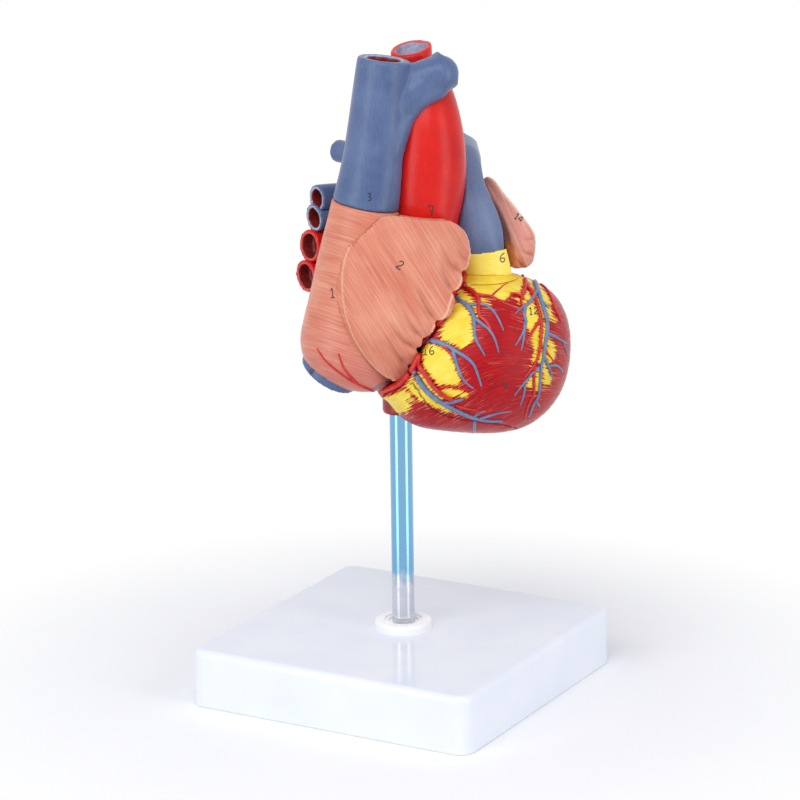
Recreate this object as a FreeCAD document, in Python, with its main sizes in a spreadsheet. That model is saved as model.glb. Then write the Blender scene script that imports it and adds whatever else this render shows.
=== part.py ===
"""Two-part human heart demonstration model on a square stand, in millimetres.

The stand is a hollow moulded base, a collar, a steel rod and the screw that draws the rod
down. The heart drops over the rod. Its bonded castings are the ventricles, the atria, the
auricles, the great vessels and the valves, and the front wall of the ventricles pulls
forward off three pairs of magnets to show the chambers.

The heart is laid out in its own axes: X to the heart's left, Y to its back, Z up, with the
origin where the rod enters. The whole heart is then turned about the rod.
"""

import FreeCAD, Part
import math
import os
import Sketcher
from FreeCAD import Placement, Rotation, Vector

UP = Vector(0, 0, 1)

SIZES = {
    # stand
    "base_side": 140,
    "base_height": 26,
    "base_corner_radius": 7,
    "base_edge_radius": 3,
    "base_wall": 3,
    "base_taper": 1,
    "boss_diameter": 24,
    "boss_recess": 9,
    "boss_floor": 4,
    "collar_diameter": 25.6,
    "collar_height": 4,
    "collar_spigot_diameter": 15,
    "collar_step_diameter": 17,
    "collar_step": 0.7,
    "collar_rounding": 1.2,
    "rod_diameter": 10,
    "rod_exposed": 100,
    "rod_chamfer": 0.6,
    "screw_diameter": 5,
    "screw_bite": 16,
    "screw_head_diameter": 9,
    "screw_head_height": 3.6,
    "screw_drive_width": 3.6,
    "screw_drive_depth": 1.8,
    "washer_diameter": 14,
    "washer_thickness": 1,
    "running_clearance": 0.05,
    "end_clearance": 0.3,
    "screw_clearance": 0.25,
    # how the heart sits on the rod
    "heart_turn": 70,
    "heart_height": 160,
    "socket_diameter": 16,
    "socket_depth": 22,
    "socket_roof": 2.5,
    "socket_surround": 4,
    "parting_gap": 0.3,
    # magnets that hold the front wall
    "magnet_diameter": 5,
    "magnet_thickness": 3,
    "magnet_setback": 0.2,
}

DRAWN_HEIGHT = 160  # heart height that the sizes and points of the heart are written for

# Sizes of the heart at that height. They grow and shrink with heart_height.
HEART_SIZES = {
    # ventricles
    "ventricle_height": 74,
    "ventricle_depth": 74,
    "apex_length": 41,
    "base_length": 32,
    "right_wall": 7,
    "left_wall": 9,
    "left_base_diameter": 50,
    "left_apex_diameter": 28,
    "right_apex_diameter": 34,
    # atria and auricles
    "right_atrium_width": 46,
    "right_atrium_space": 30,
    "left_atrium_width": 48,
    "left_atrium_space": 24,
    "right_auricle_width": 80,
    "left_auricle_width": 19,
    # great vessels
    "cava_root_diameter": 30,
    "cava_top_diameter": 22.8,
    "cava_wall": 4.2,
    "brachiocephalic_diameter": 17.4,
    "azygos_diameter": 10,
    "inferior_cava_diameter": 27,
    "inferior_cava_wall": 3,
    "aorta_root_diameter": 28,
    "aorta_bulge_diameter": 33.6,
    "aorta_arch_diameter": 23,
    "aorta_end_diameter": 19,
    "trunk_artery_diameter": 18,
    "carotid_diameter": 10,
    "subclavian_diameter": 10,
    "pulmonary_ring_diameter": 31,
    "pulmonary_ring_height": 14.6,
    "pulmonary_root_diameter": 28.6,
    "pulmonary_fork_diameter": 22,
    "pulmonary_artery_diameter": 18,
    "lobar_artery_diameter": 12,
    "pulmonary_vein_diameter": 14.6,
    "artery_wall": 2.6,
    "lobar_wall": 2,
    "end_recess": 6,
    # valves and the muscles that work them
    "tricuspid_diameter": 20,
    "mitral_diameter": 17,
    "outflow_diameter": 15,
    "leaflet_length": 9,
    "leaflet_thickness": 1.4,
    "leaflet_slit": 1.2,
    "cusp_thickness": 1.2,
    "papillary_diameter": 7,
    "chorda_diameter": 1,
}

doc = FreeCAD.newDocument("heart_model")
sheet = doc.addObject("Spreadsheet::Sheet", "Sizes")
cells = {alias: str(value) for alias, value in SIZES.items()}
cells |= {alias: f"={value} * heart_height / {DRAWN_HEIGHT}" for alias, value in HEART_SIZES.items()}
for row, (alias, content) in enumerate(cells.items(), start=1):
    sheet.set(f"A{row}", alias)
    sheet.set(f"B{row}", content)
    sheet.setAlias(f"B{row}", alias)
doc.recompute()


def size(alias):
    """The value in the spreadsheet's cell."""
    return float(sheet.get(alias))


def bind(obj, **expressions):
    """Ties properties to expressions, in which <name> stands for a cell of the sheet."""
    for name, expression in expressions.items():
        obj.setExpression(name, expression.replace("<", "Sizes.").replace(">", ""))
    return obj


# ---------------------------------------------------------------- the heart's axes

FAR = 150  # well outside the heart
SEAT_HEIGHT = size("base_height") + size("rod_exposed")
ON_THE_ROD = Placement(Vector(0, 0, SEAT_HEIGHT), Rotation(UP, size("heart_turn")))


GROWTH = size("heart_height") / DRAWN_HEIGHT


def at(x, y, z):
    """A point of the heart, carried over from the drawn height to the one in the sheet."""
    return Vector(x, y, z) * GROWTH


CENTRE = at(24.6, -23.5, 26)  # middle of the ventricles
TO_APEX = Vector(0.772, -0.373, -0.515).normalize()  # their long axis
TO_FRONT = TO_APEX.cross(UP).normalize()
PULL = Vector(-0.174, -0.985, 0).normalize()  # the way that the front wall comes off

RIGHT_BASE = CENTRE - TO_APEX * 2 * GROWTH  # ends of the right chamber's axis
RIGHT_APEX = CENTRE + TO_APEX * 17.5 * GROWTH
LEFT_BASE = at(21, -7, 35)  # ends of the left chamber's axis
LEFT_APEX = at(46, -33, 12)

RIGHT_ATRIUM_MIDDLE = at(-19, 6, 46)
LEFT_ATRIUM_MIDDLE = at(14, 27, 56)
TRICUSPID = at(-3, -20, 28)  # middle of each valve's ring, and the way that blood leaves it
INTO_RIGHT = (TRICUSPID - RIGHT_ATRIUM_MIDDLE).normalize()
INTO_LEFT = (LEFT_BASE - LEFT_ATRIUM_MIDDLE).normalize()
MITRAL = LEFT_BASE - INTO_LEFT * 17 * GROWTH
OUT_OF_LEFT = Vector(-0.447, 0, 0.894).normalize()
AORTIC = LEFT_BASE + OUT_OF_LEFT * 24 * GROWTH
PULMONARY = at(33.5, -17.5, 68.2)
OUT_OF_RIGHT = Vector(0.20, 0.55, 0.81).normalize()

ACROSS = UP.cross(PULL).normalize()  # to the right for someone who faces the front wall


def in_view(across, up, forward=0.0):
    """A point given as someone who faces the front wall sees it."""
    return at(*(ACROSS * across + UP * up + PULL * forward))


# ---------------------------------------------------------------- makers of document objects

subparts = []


def on_stand(obj, label):
    """Marks an object as a finished piece of the stand."""
    obj.Label = label
    subparts.append(obj)
    return obj


def on_heart(obj, label):
    """Marks an object as a finished piece of the heart, and sets it on the rod."""
    obj.Placement = ON_THE_ROD.multiply(obj.Placement)
    return on_stand(obj, label)


def axes_along(direction, side):
    """The rotation that lays Z along a direction and X as near to a side as it can."""
    normal = Vector(*direction).normalize()
    across = (side - normal * side.dot(normal)).normalize()
    return Rotation(across, normal.cross(across), normal, "ZXY")


def steadiest_side(directions):
    """The axis that the directions keep farthest from, so that sections don't twist."""
    axes = [Vector(1, 0, 0), Vector(0, 1, 0), UP]
    return min(axes, key=lambda axis: max(abs(Vector(*d).normalize() * axis) for d in directions))


SECTION_POINTS = 12  # points that a smooth section is drawn through
EVEN_SPACING = [i / SECTION_POINTS for i in range(SECTION_POINTS + 1)]


def mass(sections, side):
    """A solid through smooth oval sections: (centre, direction, across, rise)."""
    wires = []
    for centre, direction, across, rise in sections:
        turn = axes_along(direction, side)
        points = []
        for i in range(SECTION_POINTS):
            angle = 2 * math.pi * i / SECTION_POINTS
            spoke = Vector(across * math.cos(angle), rise * math.sin(angle), 0)
            points.append(centre + turn.multVec(spoke))
        outline = Part.BSplineCurve()
        outline.interpolate(points, PeriodicFlag=True, Parameters=EVEN_SPACING)
        wires.append(Part.Wire([outline.toShape()]))
    return Part.makeLoft(wires, True, False, False, 3)


def casting(name, shape):
    """A free form that no sketch or primitive makes."""
    obj = doc.addObject("Part::Feature", name)
    obj.Shape = shape
    return obj


def vessel(name, *stations):
    """A solid vessel through rings, each (centre, direction, radius expression)."""
    side = steadiest_side([direction for _, direction, _ in stations])
    rings = []
    for centre, direction, radius in stations:
        ring = doc.addObject("Part::Circle", f"{name}_ring")
        ring.Placement = Placement(centre, axes_along(direction, side))
        rings.append(bind(ring, Radius=radius))
    loft = doc.addObject("Part::Loft", name)
    loft.Sections = rings
    loft.Solid = True
    loft.MaxDegree = 3
    return loft


def pin(name, centre, direction, radius, height):
    """A cylinder that starts at a point and runs along a direction."""
    cylinder = doc.addObject("Part::Cylinder", name)
    cylinder.Placement = Placement(centre, Rotation(UP, Vector(*direction)))
    return bind(cylinder, Radius=radius, Height=height)


def ball(name, centre, radius):
    sphere = doc.addObject("Part::Sphere", name)
    sphere.Placement = Placement(centre, Rotation())
    return bind(sphere, Radius=radius)


def open_end(name, station, wall):
    """The blind hole in a vessel's open end, from just outside it to its floor."""
    centre, direction, radius = station
    outward = Vector(*direction).normalize()
    return pin(name, centre + outward, outward * -1, f"{radius} - {wall}", "<end_recess> + 1")


def fuse(name, *shapes):
    """One solid from several."""
    union = doc.addObject("Part::MultiFuse", name)
    union.Shapes = list(shapes)
    return union


def cut(name, base, *tools):
    """A base without its tools, taken off one after another."""
    for number, tool in enumerate(tools):
        step = name if tool is tools[-1] else f"{name}_step{number}"
        result = doc.addObject("Part::Cut", step)
        result.Base = base
        result.Tool = tool
        base = result
    return base


def common(name, base, tool):
    """What two solids share."""
    shared = doc.addObject("Part::Common", name)
    shared.Base = base
    shared.Tool = tool
    return shared


def main_piece(name, source):
    """The largest solid of a cut, without the crumbs that it leaves."""
    doc.recompute()
    return casting(name, max(source.Shape.Solids, key=lambda solid: solid.Volume))


# ---------------------------------------------------------------- PartDesign helpers


def sketch_on(body, name, role, height=None):
    """A sketch on one of the body's own origin planes, lifted by an expression."""
    sketch = body.newObject("Sketcher::SketchObject", name)
    plane = next(p for p in body.Origin.OriginFeatures if p.Role == role)
    sketch.AttachmentSupport = [(plane, "")]
    sketch.MapMode = "FlatFace"
    if height:
        bind(sketch, **{"AttachmentOffset.Base.z": height})
    return sketch


def add_circle(sketch, diameter):
    """A circle about the sketch's origin."""
    index = sketch.addGeometry(Part.Circle(Vector(), UP, 10))
    sketch.addConstraint(Sketcher.Constraint("Coincident", index, 3, -1, 1))
    number = sketch.addConstraint(Sketcher.Constraint("Diameter", index, 20))
    bind(sketch, **{f"Constraints[{number}]": diameter})


def add_square(sketch, side):
    """A square about the sketch's origin."""
    corners = [Vector(-50, -50), Vector(50, -50), Vector(50, 50), Vector(-50, 50)]
    first = sketch.GeometryCount
    for i in range(4):
        sketch.addGeometry(Part.LineSegment(corners[i], corners[(i + 1) % 4]))
    for i in range(4):
        following = first + (i + 1) % 4
        kind = "Horizontal" if i % 2 == 0 else "Vertical"
        sketch.addConstraint(Sketcher.Constraint("Coincident", first + i, 2, following, 1))
        sketch.addConstraint(Sketcher.Constraint(kind, first + i))
    sketch.addConstraint(Sketcher.Constraint("Symmetric", first, 1, first + 1, 2, -1, 1))
    for i in range(2):
        number = sketch.addConstraint(Sketcher.Constraint("Distance", first + i, 100))
        bind(sketch, **{f"Constraints[{number}]": side})


def pad(body, name, sketch, length, taper="0"):
    feature = body.newObject("PartDesign::Pad", name)
    feature.Profile = sketch
    return bind(feature, Length=length, TaperAngle=taper)


def pocket_up(body, name, sketch, length, taper="0"):
    """A pocket that runs upwards from its sketch."""
    feature = body.newObject("PartDesign::Pocket", name)
    feature.Profile = sketch
    feature.Reversed = True
    return bind(feature, Length=length, TaperAngle=taper)


def round_edges(body, name, base, wanted, radius):
    """Rounds the edges of a feature that a test picks out."""
    doc.recompute()
    fillet = body.newObject("PartDesign::Fillet", name)
    edges = enumerate(base.Shape.Edges, start=1)
    fillet.Base = (base, [f"Edge{i}" for i, edge in edges if wanted(edge)])
    return bind(fillet, Radius=radius)


def turned(body, name, profile):
    """A full turn about Z of a closed outline of (radius, height) pairs."""
    sketch = sketch_on(body, f"{name}_profile", "XZ_Plane")
    for start, end in zip(profile, profile[1:] + profile[:1]):
        sketch.addGeometry(Part.LineSegment(Vector(*start, 0), Vector(*end, 0)))
    feature = body.newObject("PartDesign::Revolution", name)
    feature.Profile = sketch
    feature.ReferenceAxis = (sketch, ["V_Axis"])
    feature.Angle = 360
    return feature


# ---------------------------------------------------------------- stand


def is_upright(edge):
    return edge.BoundBox.ZLength > size("base_height") / 2


def is_top_rim(edge):
    return edge.BoundBox.ZMin > size("base_height") - 0.01


def make_base_plate():
    """A hollow moulded box, open underneath, with a boss that seats the rod."""
    body = doc.addObject("PartDesign::Body", "base_plate")
    outline = sketch_on(body, "base_outline", "XY_Plane")
    add_square(outline, "<base_side>")
    block = pad(body, "base_block", outline, "<base_height>", "-<base_taper>")
    corners = round_edges(body, "base_corners", block, is_upright, "<base_corner_radius>")
    round_edges(body, "base_rounding", corners, is_top_rim, "<base_edge_radius>")
    hollow = sketch_on(body, "hollow_outline", "XY_Plane")
    add_square(hollow, "<base_side> - 2 * <base_wall>")
    add_circle(hollow, "<boss_diameter>")
    pocket_up(body, "base_hollow", hollow, "<base_height> - <base_wall>", "-<base_taper>")
    under = sketch_on(body, "boss_recess_outline", "XY_Plane")
    add_circle(under, "<boss_diameter> + 2 * <base_wall>")
    pocket_up(body, "boss_recess", under, "<boss_recess>")
    passage = sketch_on(body, "screw_passage_outline", "XY_Plane")
    add_circle(passage, "<screw_diameter> + 2 * <screw_clearance>")
    pocket_up(body, "screw_passage", passage, "<base_height>")
    seat = sketch_on(body, "rod_seat_outline", "XY_Plane", "<boss_recess> + <boss_floor>")
    add_circle(seat, "<rod_diameter> + 2 * <running_clearance>")
    pocket_up(body, "rod_seat", seat, "<base_height>")
    mouth = sketch_on(body, "collar_seat_outline", "XY_Plane", "<base_height> - <base_wall>")
    add_circle(mouth, "<collar_spigot_diameter>")
    pocket_up(body, "collar_seat", mouth, "<base_wall>")
    return on_stand(body, "base_plate")


def make_rod_collar():
    """A white flanged ring: its spigot fills the base's hole and guides the rod."""
    body = doc.addObject("PartDesign::Body", "rod_collar")
    face = size("base_height")
    foot = face - size("base_wall")
    top = face + size("collar_height")
    bore = size("rod_diameter") / 2 + size("running_clearance")
    spigot = size("collar_spigot_diameter") / 2
    flange = size("collar_diameter") / 2
    soft = size("collar_rounding")
    step = size("collar_step")
    outer_step = size("collar_step_diameter") / 2
    inner_step = (outer_step + bore) / 2
    profile = [(bore, foot), (spigot, foot), (spigot, face), (flange, face)]
    profile += [(flange, top - soft), (flange - 0.3 * soft, top - 0.3 * soft)]
    profile += [(flange - soft, top), (outer_step, top), (outer_step, top - step)]
    profile += [(inner_step, top - step), (inner_step, top - 2 * step), (bore, top - 2 * step)]
    turned(body, "collar_turned", profile)
    return on_stand(body, "rod_collar")


def make_support_rod():
    """A steel rod with chamfered ends, tapped at its foot for the screw."""
    body = doc.addObject("PartDesign::Body", "support_rod")
    foot = size("boss_recess") + size("boss_floor") + size("end_clearance")
    head = SEAT_HEIGHT + size("socket_depth") - size("end_clearance")
    radius = size("rod_diameter") / 2
    chamfer = size("rod_chamfer")
    tap = size("screw_diameter") / 2
    floor = foot + size("screw_bite")
    profile = [(tap, foot), (radius - chamfer, foot), (radius, foot + chamfer)]
    profile += [(radius, head - chamfer), (radius - chamfer, head), (0, head)]
    profile += [(0, floor), (tap, floor)]
    turned(body, "rod_turned", profile)
    return on_stand(body, "support_rod")


def make_rod_screw():
    """The pan-head screw that holds the rod down from underneath and lets it turn."""
    body = doc.addObject("PartDesign::Body", "rod_screw")
    face = size("boss_recess") - size("end_clearance") - size("washer_thickness")
    low = face - size("screw_head_height")
    shank = size("screw_diameter") / 2
    head = size("screw_head_diameter") / 2
    drive = size("screw_drive_width") / 2
    floor = low + size("screw_drive_depth")
    tip = size("boss_recess") + size("boss_floor") + size("screw_bite") + size("end_clearance")
    point = shank / 5
    soft = head / 4
    profile = [(drive, floor), (drive, low), (head - soft, low), (head, low + soft)]
    profile += [(head, face), (shank, face), (shank, tip - point), (shank - point, tip)]
    profile += [(0, tip), (0, floor)]
    turned(body, "screw_turned", profile)
    return on_stand(body, "rod_screw")


def make_rod_washer():
    """The plain washer under the screw's head."""
    body = doc.addObject("PartDesign::Body", "rod_washer")
    top = size("boss_recess") - size("end_clearance")
    low = top - size("washer_thickness")
    hole = size("screw_diameter") / 2 + size("screw_clearance")
    rim = size("washer_diameter") / 2
    turned(body, "washer_turned", [(hole, low), (rim, low), (rim, top), (hole, top)])
    return on_stand(body, "rod_washer")


def make_rod_socket():
    """The blind sleeve in the heart's underside that drops over the rod."""
    body = doc.addObject("PartDesign::Body", "rod_socket")
    bore = size("rod_diameter") / 2 + size("running_clearance")
    outside = size("socket_diameter") / 2
    roof = size("socket_depth")
    top = roof + size("socket_roof")
    profile = [(bore, 0), (outside, 0), (outside, top), (0, top), (0, roof), (bore, roof)]
    turned(body, "socket_turned", profile)
    return on_heart(body, "rod_socket")


# ---------------------------------------------------------------- raw forms of the heart

# Sections of the ventricles from the apex to the base: place along the axis, half height,
# lift of the middle and half depth. The place is a share of the apex or base length, and
# the others are shares of the half height and half depth.
VENTRICLES = [
    (1.0, 0.07, 0.06, 0.07),
    (0.95, 0.29, 0.06, 0.28),
    (0.82, 0.58, 0.07, 0.53),
    (0.60, 0.83, 0.12, 0.76),
    (0.37, 0.96, 0.12, 0.91),
    (0.12, 1.02, 0.07, 1.0),
    (-0.25, 1.04, -0.03, 1.02),
    (-0.62, 0.95, -0.10, 0.88),
    (-0.94, 0.78, -0.20, 0.66),
]


def ventricle_form():
    half_height = size("ventricle_height") / 2
    half_depth = size("ventricle_depth") / 2
    to_top = TO_FRONT.cross(TO_APEX)
    sections = []
    for place, rise, lift, across in VENTRICLES:
        reach = size("apex_length") if place > 0 else size("base_length")
        middle = CENTRE + TO_APEX * (place * reach) + to_top * (lift * half_height)
        sections.append((middle, TO_APEX, across * half_depth, rise * half_height))
    return mass(sections, TO_FRONT)


def capsule(name, start, end, start_radius, end_radius):
    """A round-ended, tapering form: two balls and the cone that touches both."""
    length = (end - start).Length
    lean = math.asin((start_radius - end_radius) / length)

    def rim(level, radius, angle):
        return Vector(radius * math.cos(angle), 0, level + radius * math.sin(angle))

    foot = Vector(0, 0, -start_radius)
    tip = Vector(0, 0, length + end_radius)
    low = rim(0, start_radius, lean)
    high = rim(length, end_radius, lean)
    bottom = Part.Arc(foot, rim(0, start_radius, (lean - math.pi / 2) / 2), low).toShape()
    top = Part.Arc(high, rim(length, end_radius, (lean + math.pi / 2) / 2), tip).toShape()
    outline = Part.Wire([bottom, Part.makeLine(low, high), top, Part.makeLine(tip, foot)])
    solid = Part.Face(outline).revolve(Vector(), UP, 360)
    solid.Placement = Placement(start, Rotation(UP, end - start))
    return casting(name, solid)


CAVA_RING = (at(-15.6, 2.8, 95), (0.15, -0.12, 1), "<cava_root_diameter> / 2")

# The right atrium below that ring: centre, direction, and shares of its half width.
RIGHT_ATRIUM = [
    (at(-17, 4, 80), (0.05, -0.04, 1), 0.76, 0.74),
    (at(-17.5, 6, 62), (0, 0, 1), 0.89, 0.87),
    (at(-19, 7, 46), (0, 0, 1), 1.0, 0.94),
    (at(-21, 7.5, 36), (0, 0, 1), 1.0, 0.94),
    (at(-20.5, 7, 26), (0, 0, 1), 0.94, 0.87),
    (at(-18.5, 5, 18), (0, 0, 1), 0.72, 0.68),
    (at(-16, 3, 13.5), (0, 0, 1), 0.36, 0.34),
]
# The left atrium: centre and shares of its half width.
LEFT_ATRIUM = [
    (at(14, 20, 40), 0.40, 0.30),
    (at(13, 23, 48), 0.80, 0.62),
    (at(12, 24.5, 62), 1.0, 0.72),
    (at(12, 25, 76), 0.98, 0.70),
    (at(13, 25, 87), 0.62, 0.46),
]
# The right auricle's dome, about a plane that faces the heart's front and right: places up,
# aside and out of that plane, then half width and depth as shares of its half width.
AURICLE_FACE = Vector(-0.647, -0.763, 0).normalize()
AURICLE_SIDE = UP.cross(AURICLE_FACE)
RIGHT_AURICLE = [
    (12, -3, 8, 0.20, 0.20),
    (21, -4, 8, 0.45, 0.44),
    (32, -5, 10, 0.70, 0.525),
    (50, -2, 14, 1.0, 0.50),
    (69, -3, 8, 1.0, 0.55),
    (83, -2, 8, 0.90, 0.475),
    (93, 0, 8, 0.66, 0.34),
]
# The left auricle, from inside the left atrium round the pulmonary trunk to its tip: centre,
# direction, and shares of its half width across and up.
LEFT_AURICLE = [
    (at(26, 21, 74), (0.8, -0.6, 0), 0.95, 0.95),
    (at(38, 13, 78), (0.8, -0.7, 0), 0.85, 0.95),
    (at(46.5, 2, 82), (0.6, -0.9, 0), 0.75, 1.3),
    (at(50, -8, 82), (0.3, -1, 0), 0.85, 1.95),
    (at(52, -16, 76), (0.1, -1, -0.1), 0.95, 1.95),
    (at(52.5, -23, 69), (0, -1, -0.2), 0.75, 1.2),
    (at(52, -27.5, 66), (0, -1, -0.2), 0.3, 0.4),
]


def right_atrium_form():
    half = size("right_atrium_width") / 2
    upper = size("cava_root_diameter") / 2
    sections = [(CAVA_RING[0], CAVA_RING[1], upper, upper)]
    sections += [(centre, way, a * half, b * half) for centre, way, a, b in RIGHT_ATRIUM]
    return mass(sections, Vector(1, 0, 0))


def left_atrium_form():
    half = size("left_atrium_width") / 2
    sections = [(centre, UP, a * half, b * half) for centre, a, b in LEFT_ATRIUM]
    return mass(sections, Vector(1, 0, 0))


def right_auricle_form():
    half = size("right_auricle_width") / 2
    sections = []
    for up, aside, out, across, depth in RIGHT_AURICLE:
        centre = at(*(UP * up + AURICLE_SIDE * aside + AURICLE_FACE * out))
        sections.append((centre, UP, across * half, depth * half))
    return mass(sections, AURICLE_SIDE)


def left_auricle_form():
    half = size("left_auricle_width") / 2
    sections = []
    for centre, way, across, rise in LEFT_AURICLE:
        sections.append((centre, way, rise * half, across * half))
    return mass(sections, UP)


# The right auricle's edge seen from the front, as places across and up: where each lobe of
# its scalloped edge starts, and the crown of its arc.
AURICLE_EDGE = [
    ((-30, 83), (-22.5, 91)),
    ((-13, 92.8), (-2, 90.8)),
    ((9, 89.6), (16, 84)),
    ((18.3, 76.5), (16.5, 70.5)),
    ((12, 67.5), (10.3, 62.5)),
    ((6, 60), (5.6, 53.5)),
    ((-2.3, 48.3), (-4.2, 43.2)),
    ((-7.1, 40.5), (-7.5, 38)),
    ((-8.8, 36.1), (-8.1, 31.5)),
    ((-10.7, 28), (-11.2, 23)),
    ((-15.5, 20.6), (-26, 29)),
    ((-33.5, 40.5), (-36.3, 56)),
    ((-34.3, 70), (-32.6, 77)),
]


def auricle_prism(grow=0.0):
    """The auricle's outline, grown by a clearance and run forward along the pull."""
    arcs = []
    for i, (notch, crown) in enumerate(AURICLE_EDGE):
        following = AURICLE_EDGE[(i + 1) % len(AURICLE_EDGE)][0]
        points = [in_view(*place) for place in (notch, crown, following)]
        arcs.append(Part.Arc(*points).toShape())
    outline = Part.Wire(arcs)
    if grow:
        outline = outline.makeOffset2D(grow)
    return Part.Face(outline).extrude(PULL * FAR)


# Plan of the parting surface at the level of the rod's mouth, from the heart's right to its
# left, and how far it leans back for each millimetre that it rises.
PARTING = [
    (-26, -14),
    (-19, -29),
    (-9, -39),
    (5.5, -44.3),
    (21, -45),
    (30, -41),
    (37, -30),
    (45, -13),
    (52, 5),
]
PARTING_LEAN = 0.25
ROOF = 60.5  # level of the front wall's upper edge, under the pulmonary ring


def parting_curve(level, grow=0.0):
    """The parting surface's line at a level, moved forward by a clearance."""
    places = [at(x, y + PARTING_LEAN * level, level) for x, y in PARTING]
    curve = Part.BSplineCurve()
    curve.interpolate(places)
    if grow:
        ways = [curve.tangent(curve.parameter(place))[0] for place in places]
        moved = [place + way.cross(UP).normalize() * grow for place, way in zip(places, ways)]
        curve.interpolate(moved)
    return curve


def zone_behind(grow=0.0):
    """Everything behind the parting surface, grown by a clearance."""
    edge = parting_curve(-40, grow).toShape()
    first = edge.Vertexes[0].Point
    last = edge.Vertexes[-1].Point
    back = Vector(0, FAR, 0)
    sides = Part.makePolygon([last, last + back, first + back, first])
    outline = Part.Wire([edge] + sides.Edges)
    return Part.Face(outline).extrude(Vector(0, PARTING_LEAN, 1) * FAR)


def zone_above(level):
    """Everything above a level."""
    return Part.makeBox(2 * FAR, 2 * FAR, FAR, Vector(-FAR, -FAR, level))


# ---------------------------------------------------------------- shared forms

ventricles = casting("ventricles", ventricle_form())
right_atrium_outside = casting("right_atrium_outside", right_atrium_form())
left_atrium_outside = casting("left_atrium_outside", left_atrium_form())

# The left ventricle's wall, whose near side is the septum, and its space.
left_base_radius = size("left_base_diameter") / 2
left_apex_radius = size("left_apex_diameter") / 2
left_wall = size("left_wall")
septum = capsule("septum", LEFT_BASE, LEFT_APEX, left_base_radius, left_apex_radius)
left_space = capsule(
    "left_space",
    LEFT_BASE,
    LEFT_APEX,
    left_base_radius - left_wall,
    left_apex_radius - left_wall,
)
right_radius = size("ventricle_height") / 2 - size("right_wall")
right_apex_radius = size("right_apex_diameter") / 2


def pin_from_below(name, radius, top):
    """A cylinder about the rod, from well under the heart up to a height."""
    return pin(name, Vector(0, 0, -FAR), UP, radius, f"{FAR} + {top}")


socket_top = "<socket_depth> + <socket_roof>"
socket_hole = pin_from_below("socket_hole", "<socket_diameter> / 2", socket_top)
socket_block = pin_from_below(
    "socket_block",
    "<socket_diameter> / 2 + <socket_surround>",
    f"{socket_top} + <socket_surround>",
)
right_space = cut(
    "right_space",
    capsule("right_space_whole", RIGHT_BASE, RIGHT_APEX, right_radius, right_apex_radius),
    septum,
    socket_block,
)


def passage(name, valve, way, before, after, diameter):
    """The round way through a valve, from before it to after it."""
    return pin(name, valve - way * before, way, f"<{diameter}> / 2", str(before + after))


tricuspid_way = passage("tricuspid_way", TRICUSPID, INTO_RIGHT, 24, 12, "tricuspid_diameter")
mitral_way = passage("mitral_way", MITRAL, INTO_LEFT, 16, 8, "mitral_diameter")
aortic_way = passage("aortic_way", AORTIC, OUT_OF_LEFT, 14, 12, "outflow_diameter")
pulmonary_way = passage("pulmonary_way", PULMONARY, OUT_OF_RIGHT, 30, 9, "outflow_diameter")
right_atrium_space = ball("right_atrium_hollow", RIGHT_ATRIUM_MIDDLE, "<right_atrium_space> / 2")
left_atrium_space = ball("left_atrium_hollow", LEFT_ATRIUM_MIDDLE, "<left_atrium_space> / 2")
chambers = [right_space, left_space, tricuspid_way, mitral_way, aortic_way, pulmonary_way]


# ---------------------------------------------------------------- vessels' outsides


def between(first, second, share):
    """A radius expression some way from one diameter to another."""
    return f"(<{first}> * {1 - share:.2f} + <{second}> * {share:.2f}) / 2"


def half(diameter, share=1.0):
    return f"<{diameter}> * {share / 2:.3f}"


CAVA = ("cava_root_diameter", "cava_top_diameter")
cava_end = (at(-9, -2.8, 158.5), (0.1, -0.08, 1), half("cava_top_diameter"))
cava_outside = vessel(
    "cava_outside",
    CAVA_RING,
    (at(-13.5, 0.6, 110), (0.12, -0.1, 1), between(*CAVA, 0.3)),
    (at(-11, -1.2, 135), (0.12, -0.1, 1), between(*CAVA, 0.68)),
    cava_end,
)
brachiocephalic_end = (at(16, -15.5, 153), (0.8, -0.35, 0.5), half("brachiocephalic_diameter"))
brachiocephalic_outside = vessel(
    "brachiocephalic_outside",
    (at(-9, -4, 136), (0.8, -0.35, 0.5), half("brachiocephalic_diameter")),
    (at(4, -11, 145), (0.8, -0.4, 0.45), half("brachiocephalic_diameter", 0.97)),
    brachiocephalic_end,
)
AORTA_WAIST = ("aorta_root_diameter", "aorta_bulge_diameter")
AORTA_NECK = ("aorta_bulge_diameter", "aorta_arch_diameter")
aorta_end = (at(29, 30, 113), (0, 0.05, -1), half("aorta_end_diameter"))
aorta_outside = vessel(
    "aorta_outside",
    (at(9, -8, 40), (0, 0, 1), half("aorta_root_diameter")),
    (at(8.4, -6.5, 66), (0, 0, 1), half("aorta_root_diameter")),
    (at(8.6, -7.3, 88), (0, 0, 1), between(*AORTA_WAIST, 0.55)),
    (at(9.8, -8.6, 110), (0.03, 0.03, 1), half("aorta_bulge_diameter")),
    (at(11, -7, 130), (0.1, 0.25, 1), between(*AORTA_NECK, 0.4)),
    (at(14.5, 1, 142.5), (0.3, 0.7, 0.6), between(*AORTA_NECK, 0.8)),
    (at(20, 12, 145.5), (0.45, 0.9, 0), half("aorta_arch_diameter")),
    (at(26, 23, 137), (0.3, 0.5, -0.8), half("aorta_arch_diameter", 0.96)),
    (at(28.6, 28.5, 124), (0.03, 0.15, -1), half("aorta_end_diameter", 1.05)),
    aorta_end,
)
trunk_artery_end = (at(14.8, 7.2, 160.5), (0.03, 0.08, 1), half("trunk_artery_diameter"))
carotid_end = (at(22, 14.5, 158), (0.08, 0.08, 1), half("carotid_diameter"))
subclavian_end = (at(28, 22, 155), (0.12, 0.15, 1), half("subclavian_diameter"))
pulmonary_fork = (at(36, 2, 106), (0.5, 0.75, 0.4), half("pulmonary_fork_diameter"))
PULMONARY_TRUNK = ("pulmonary_root_diameter", "pulmonary_fork_diameter")
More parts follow.
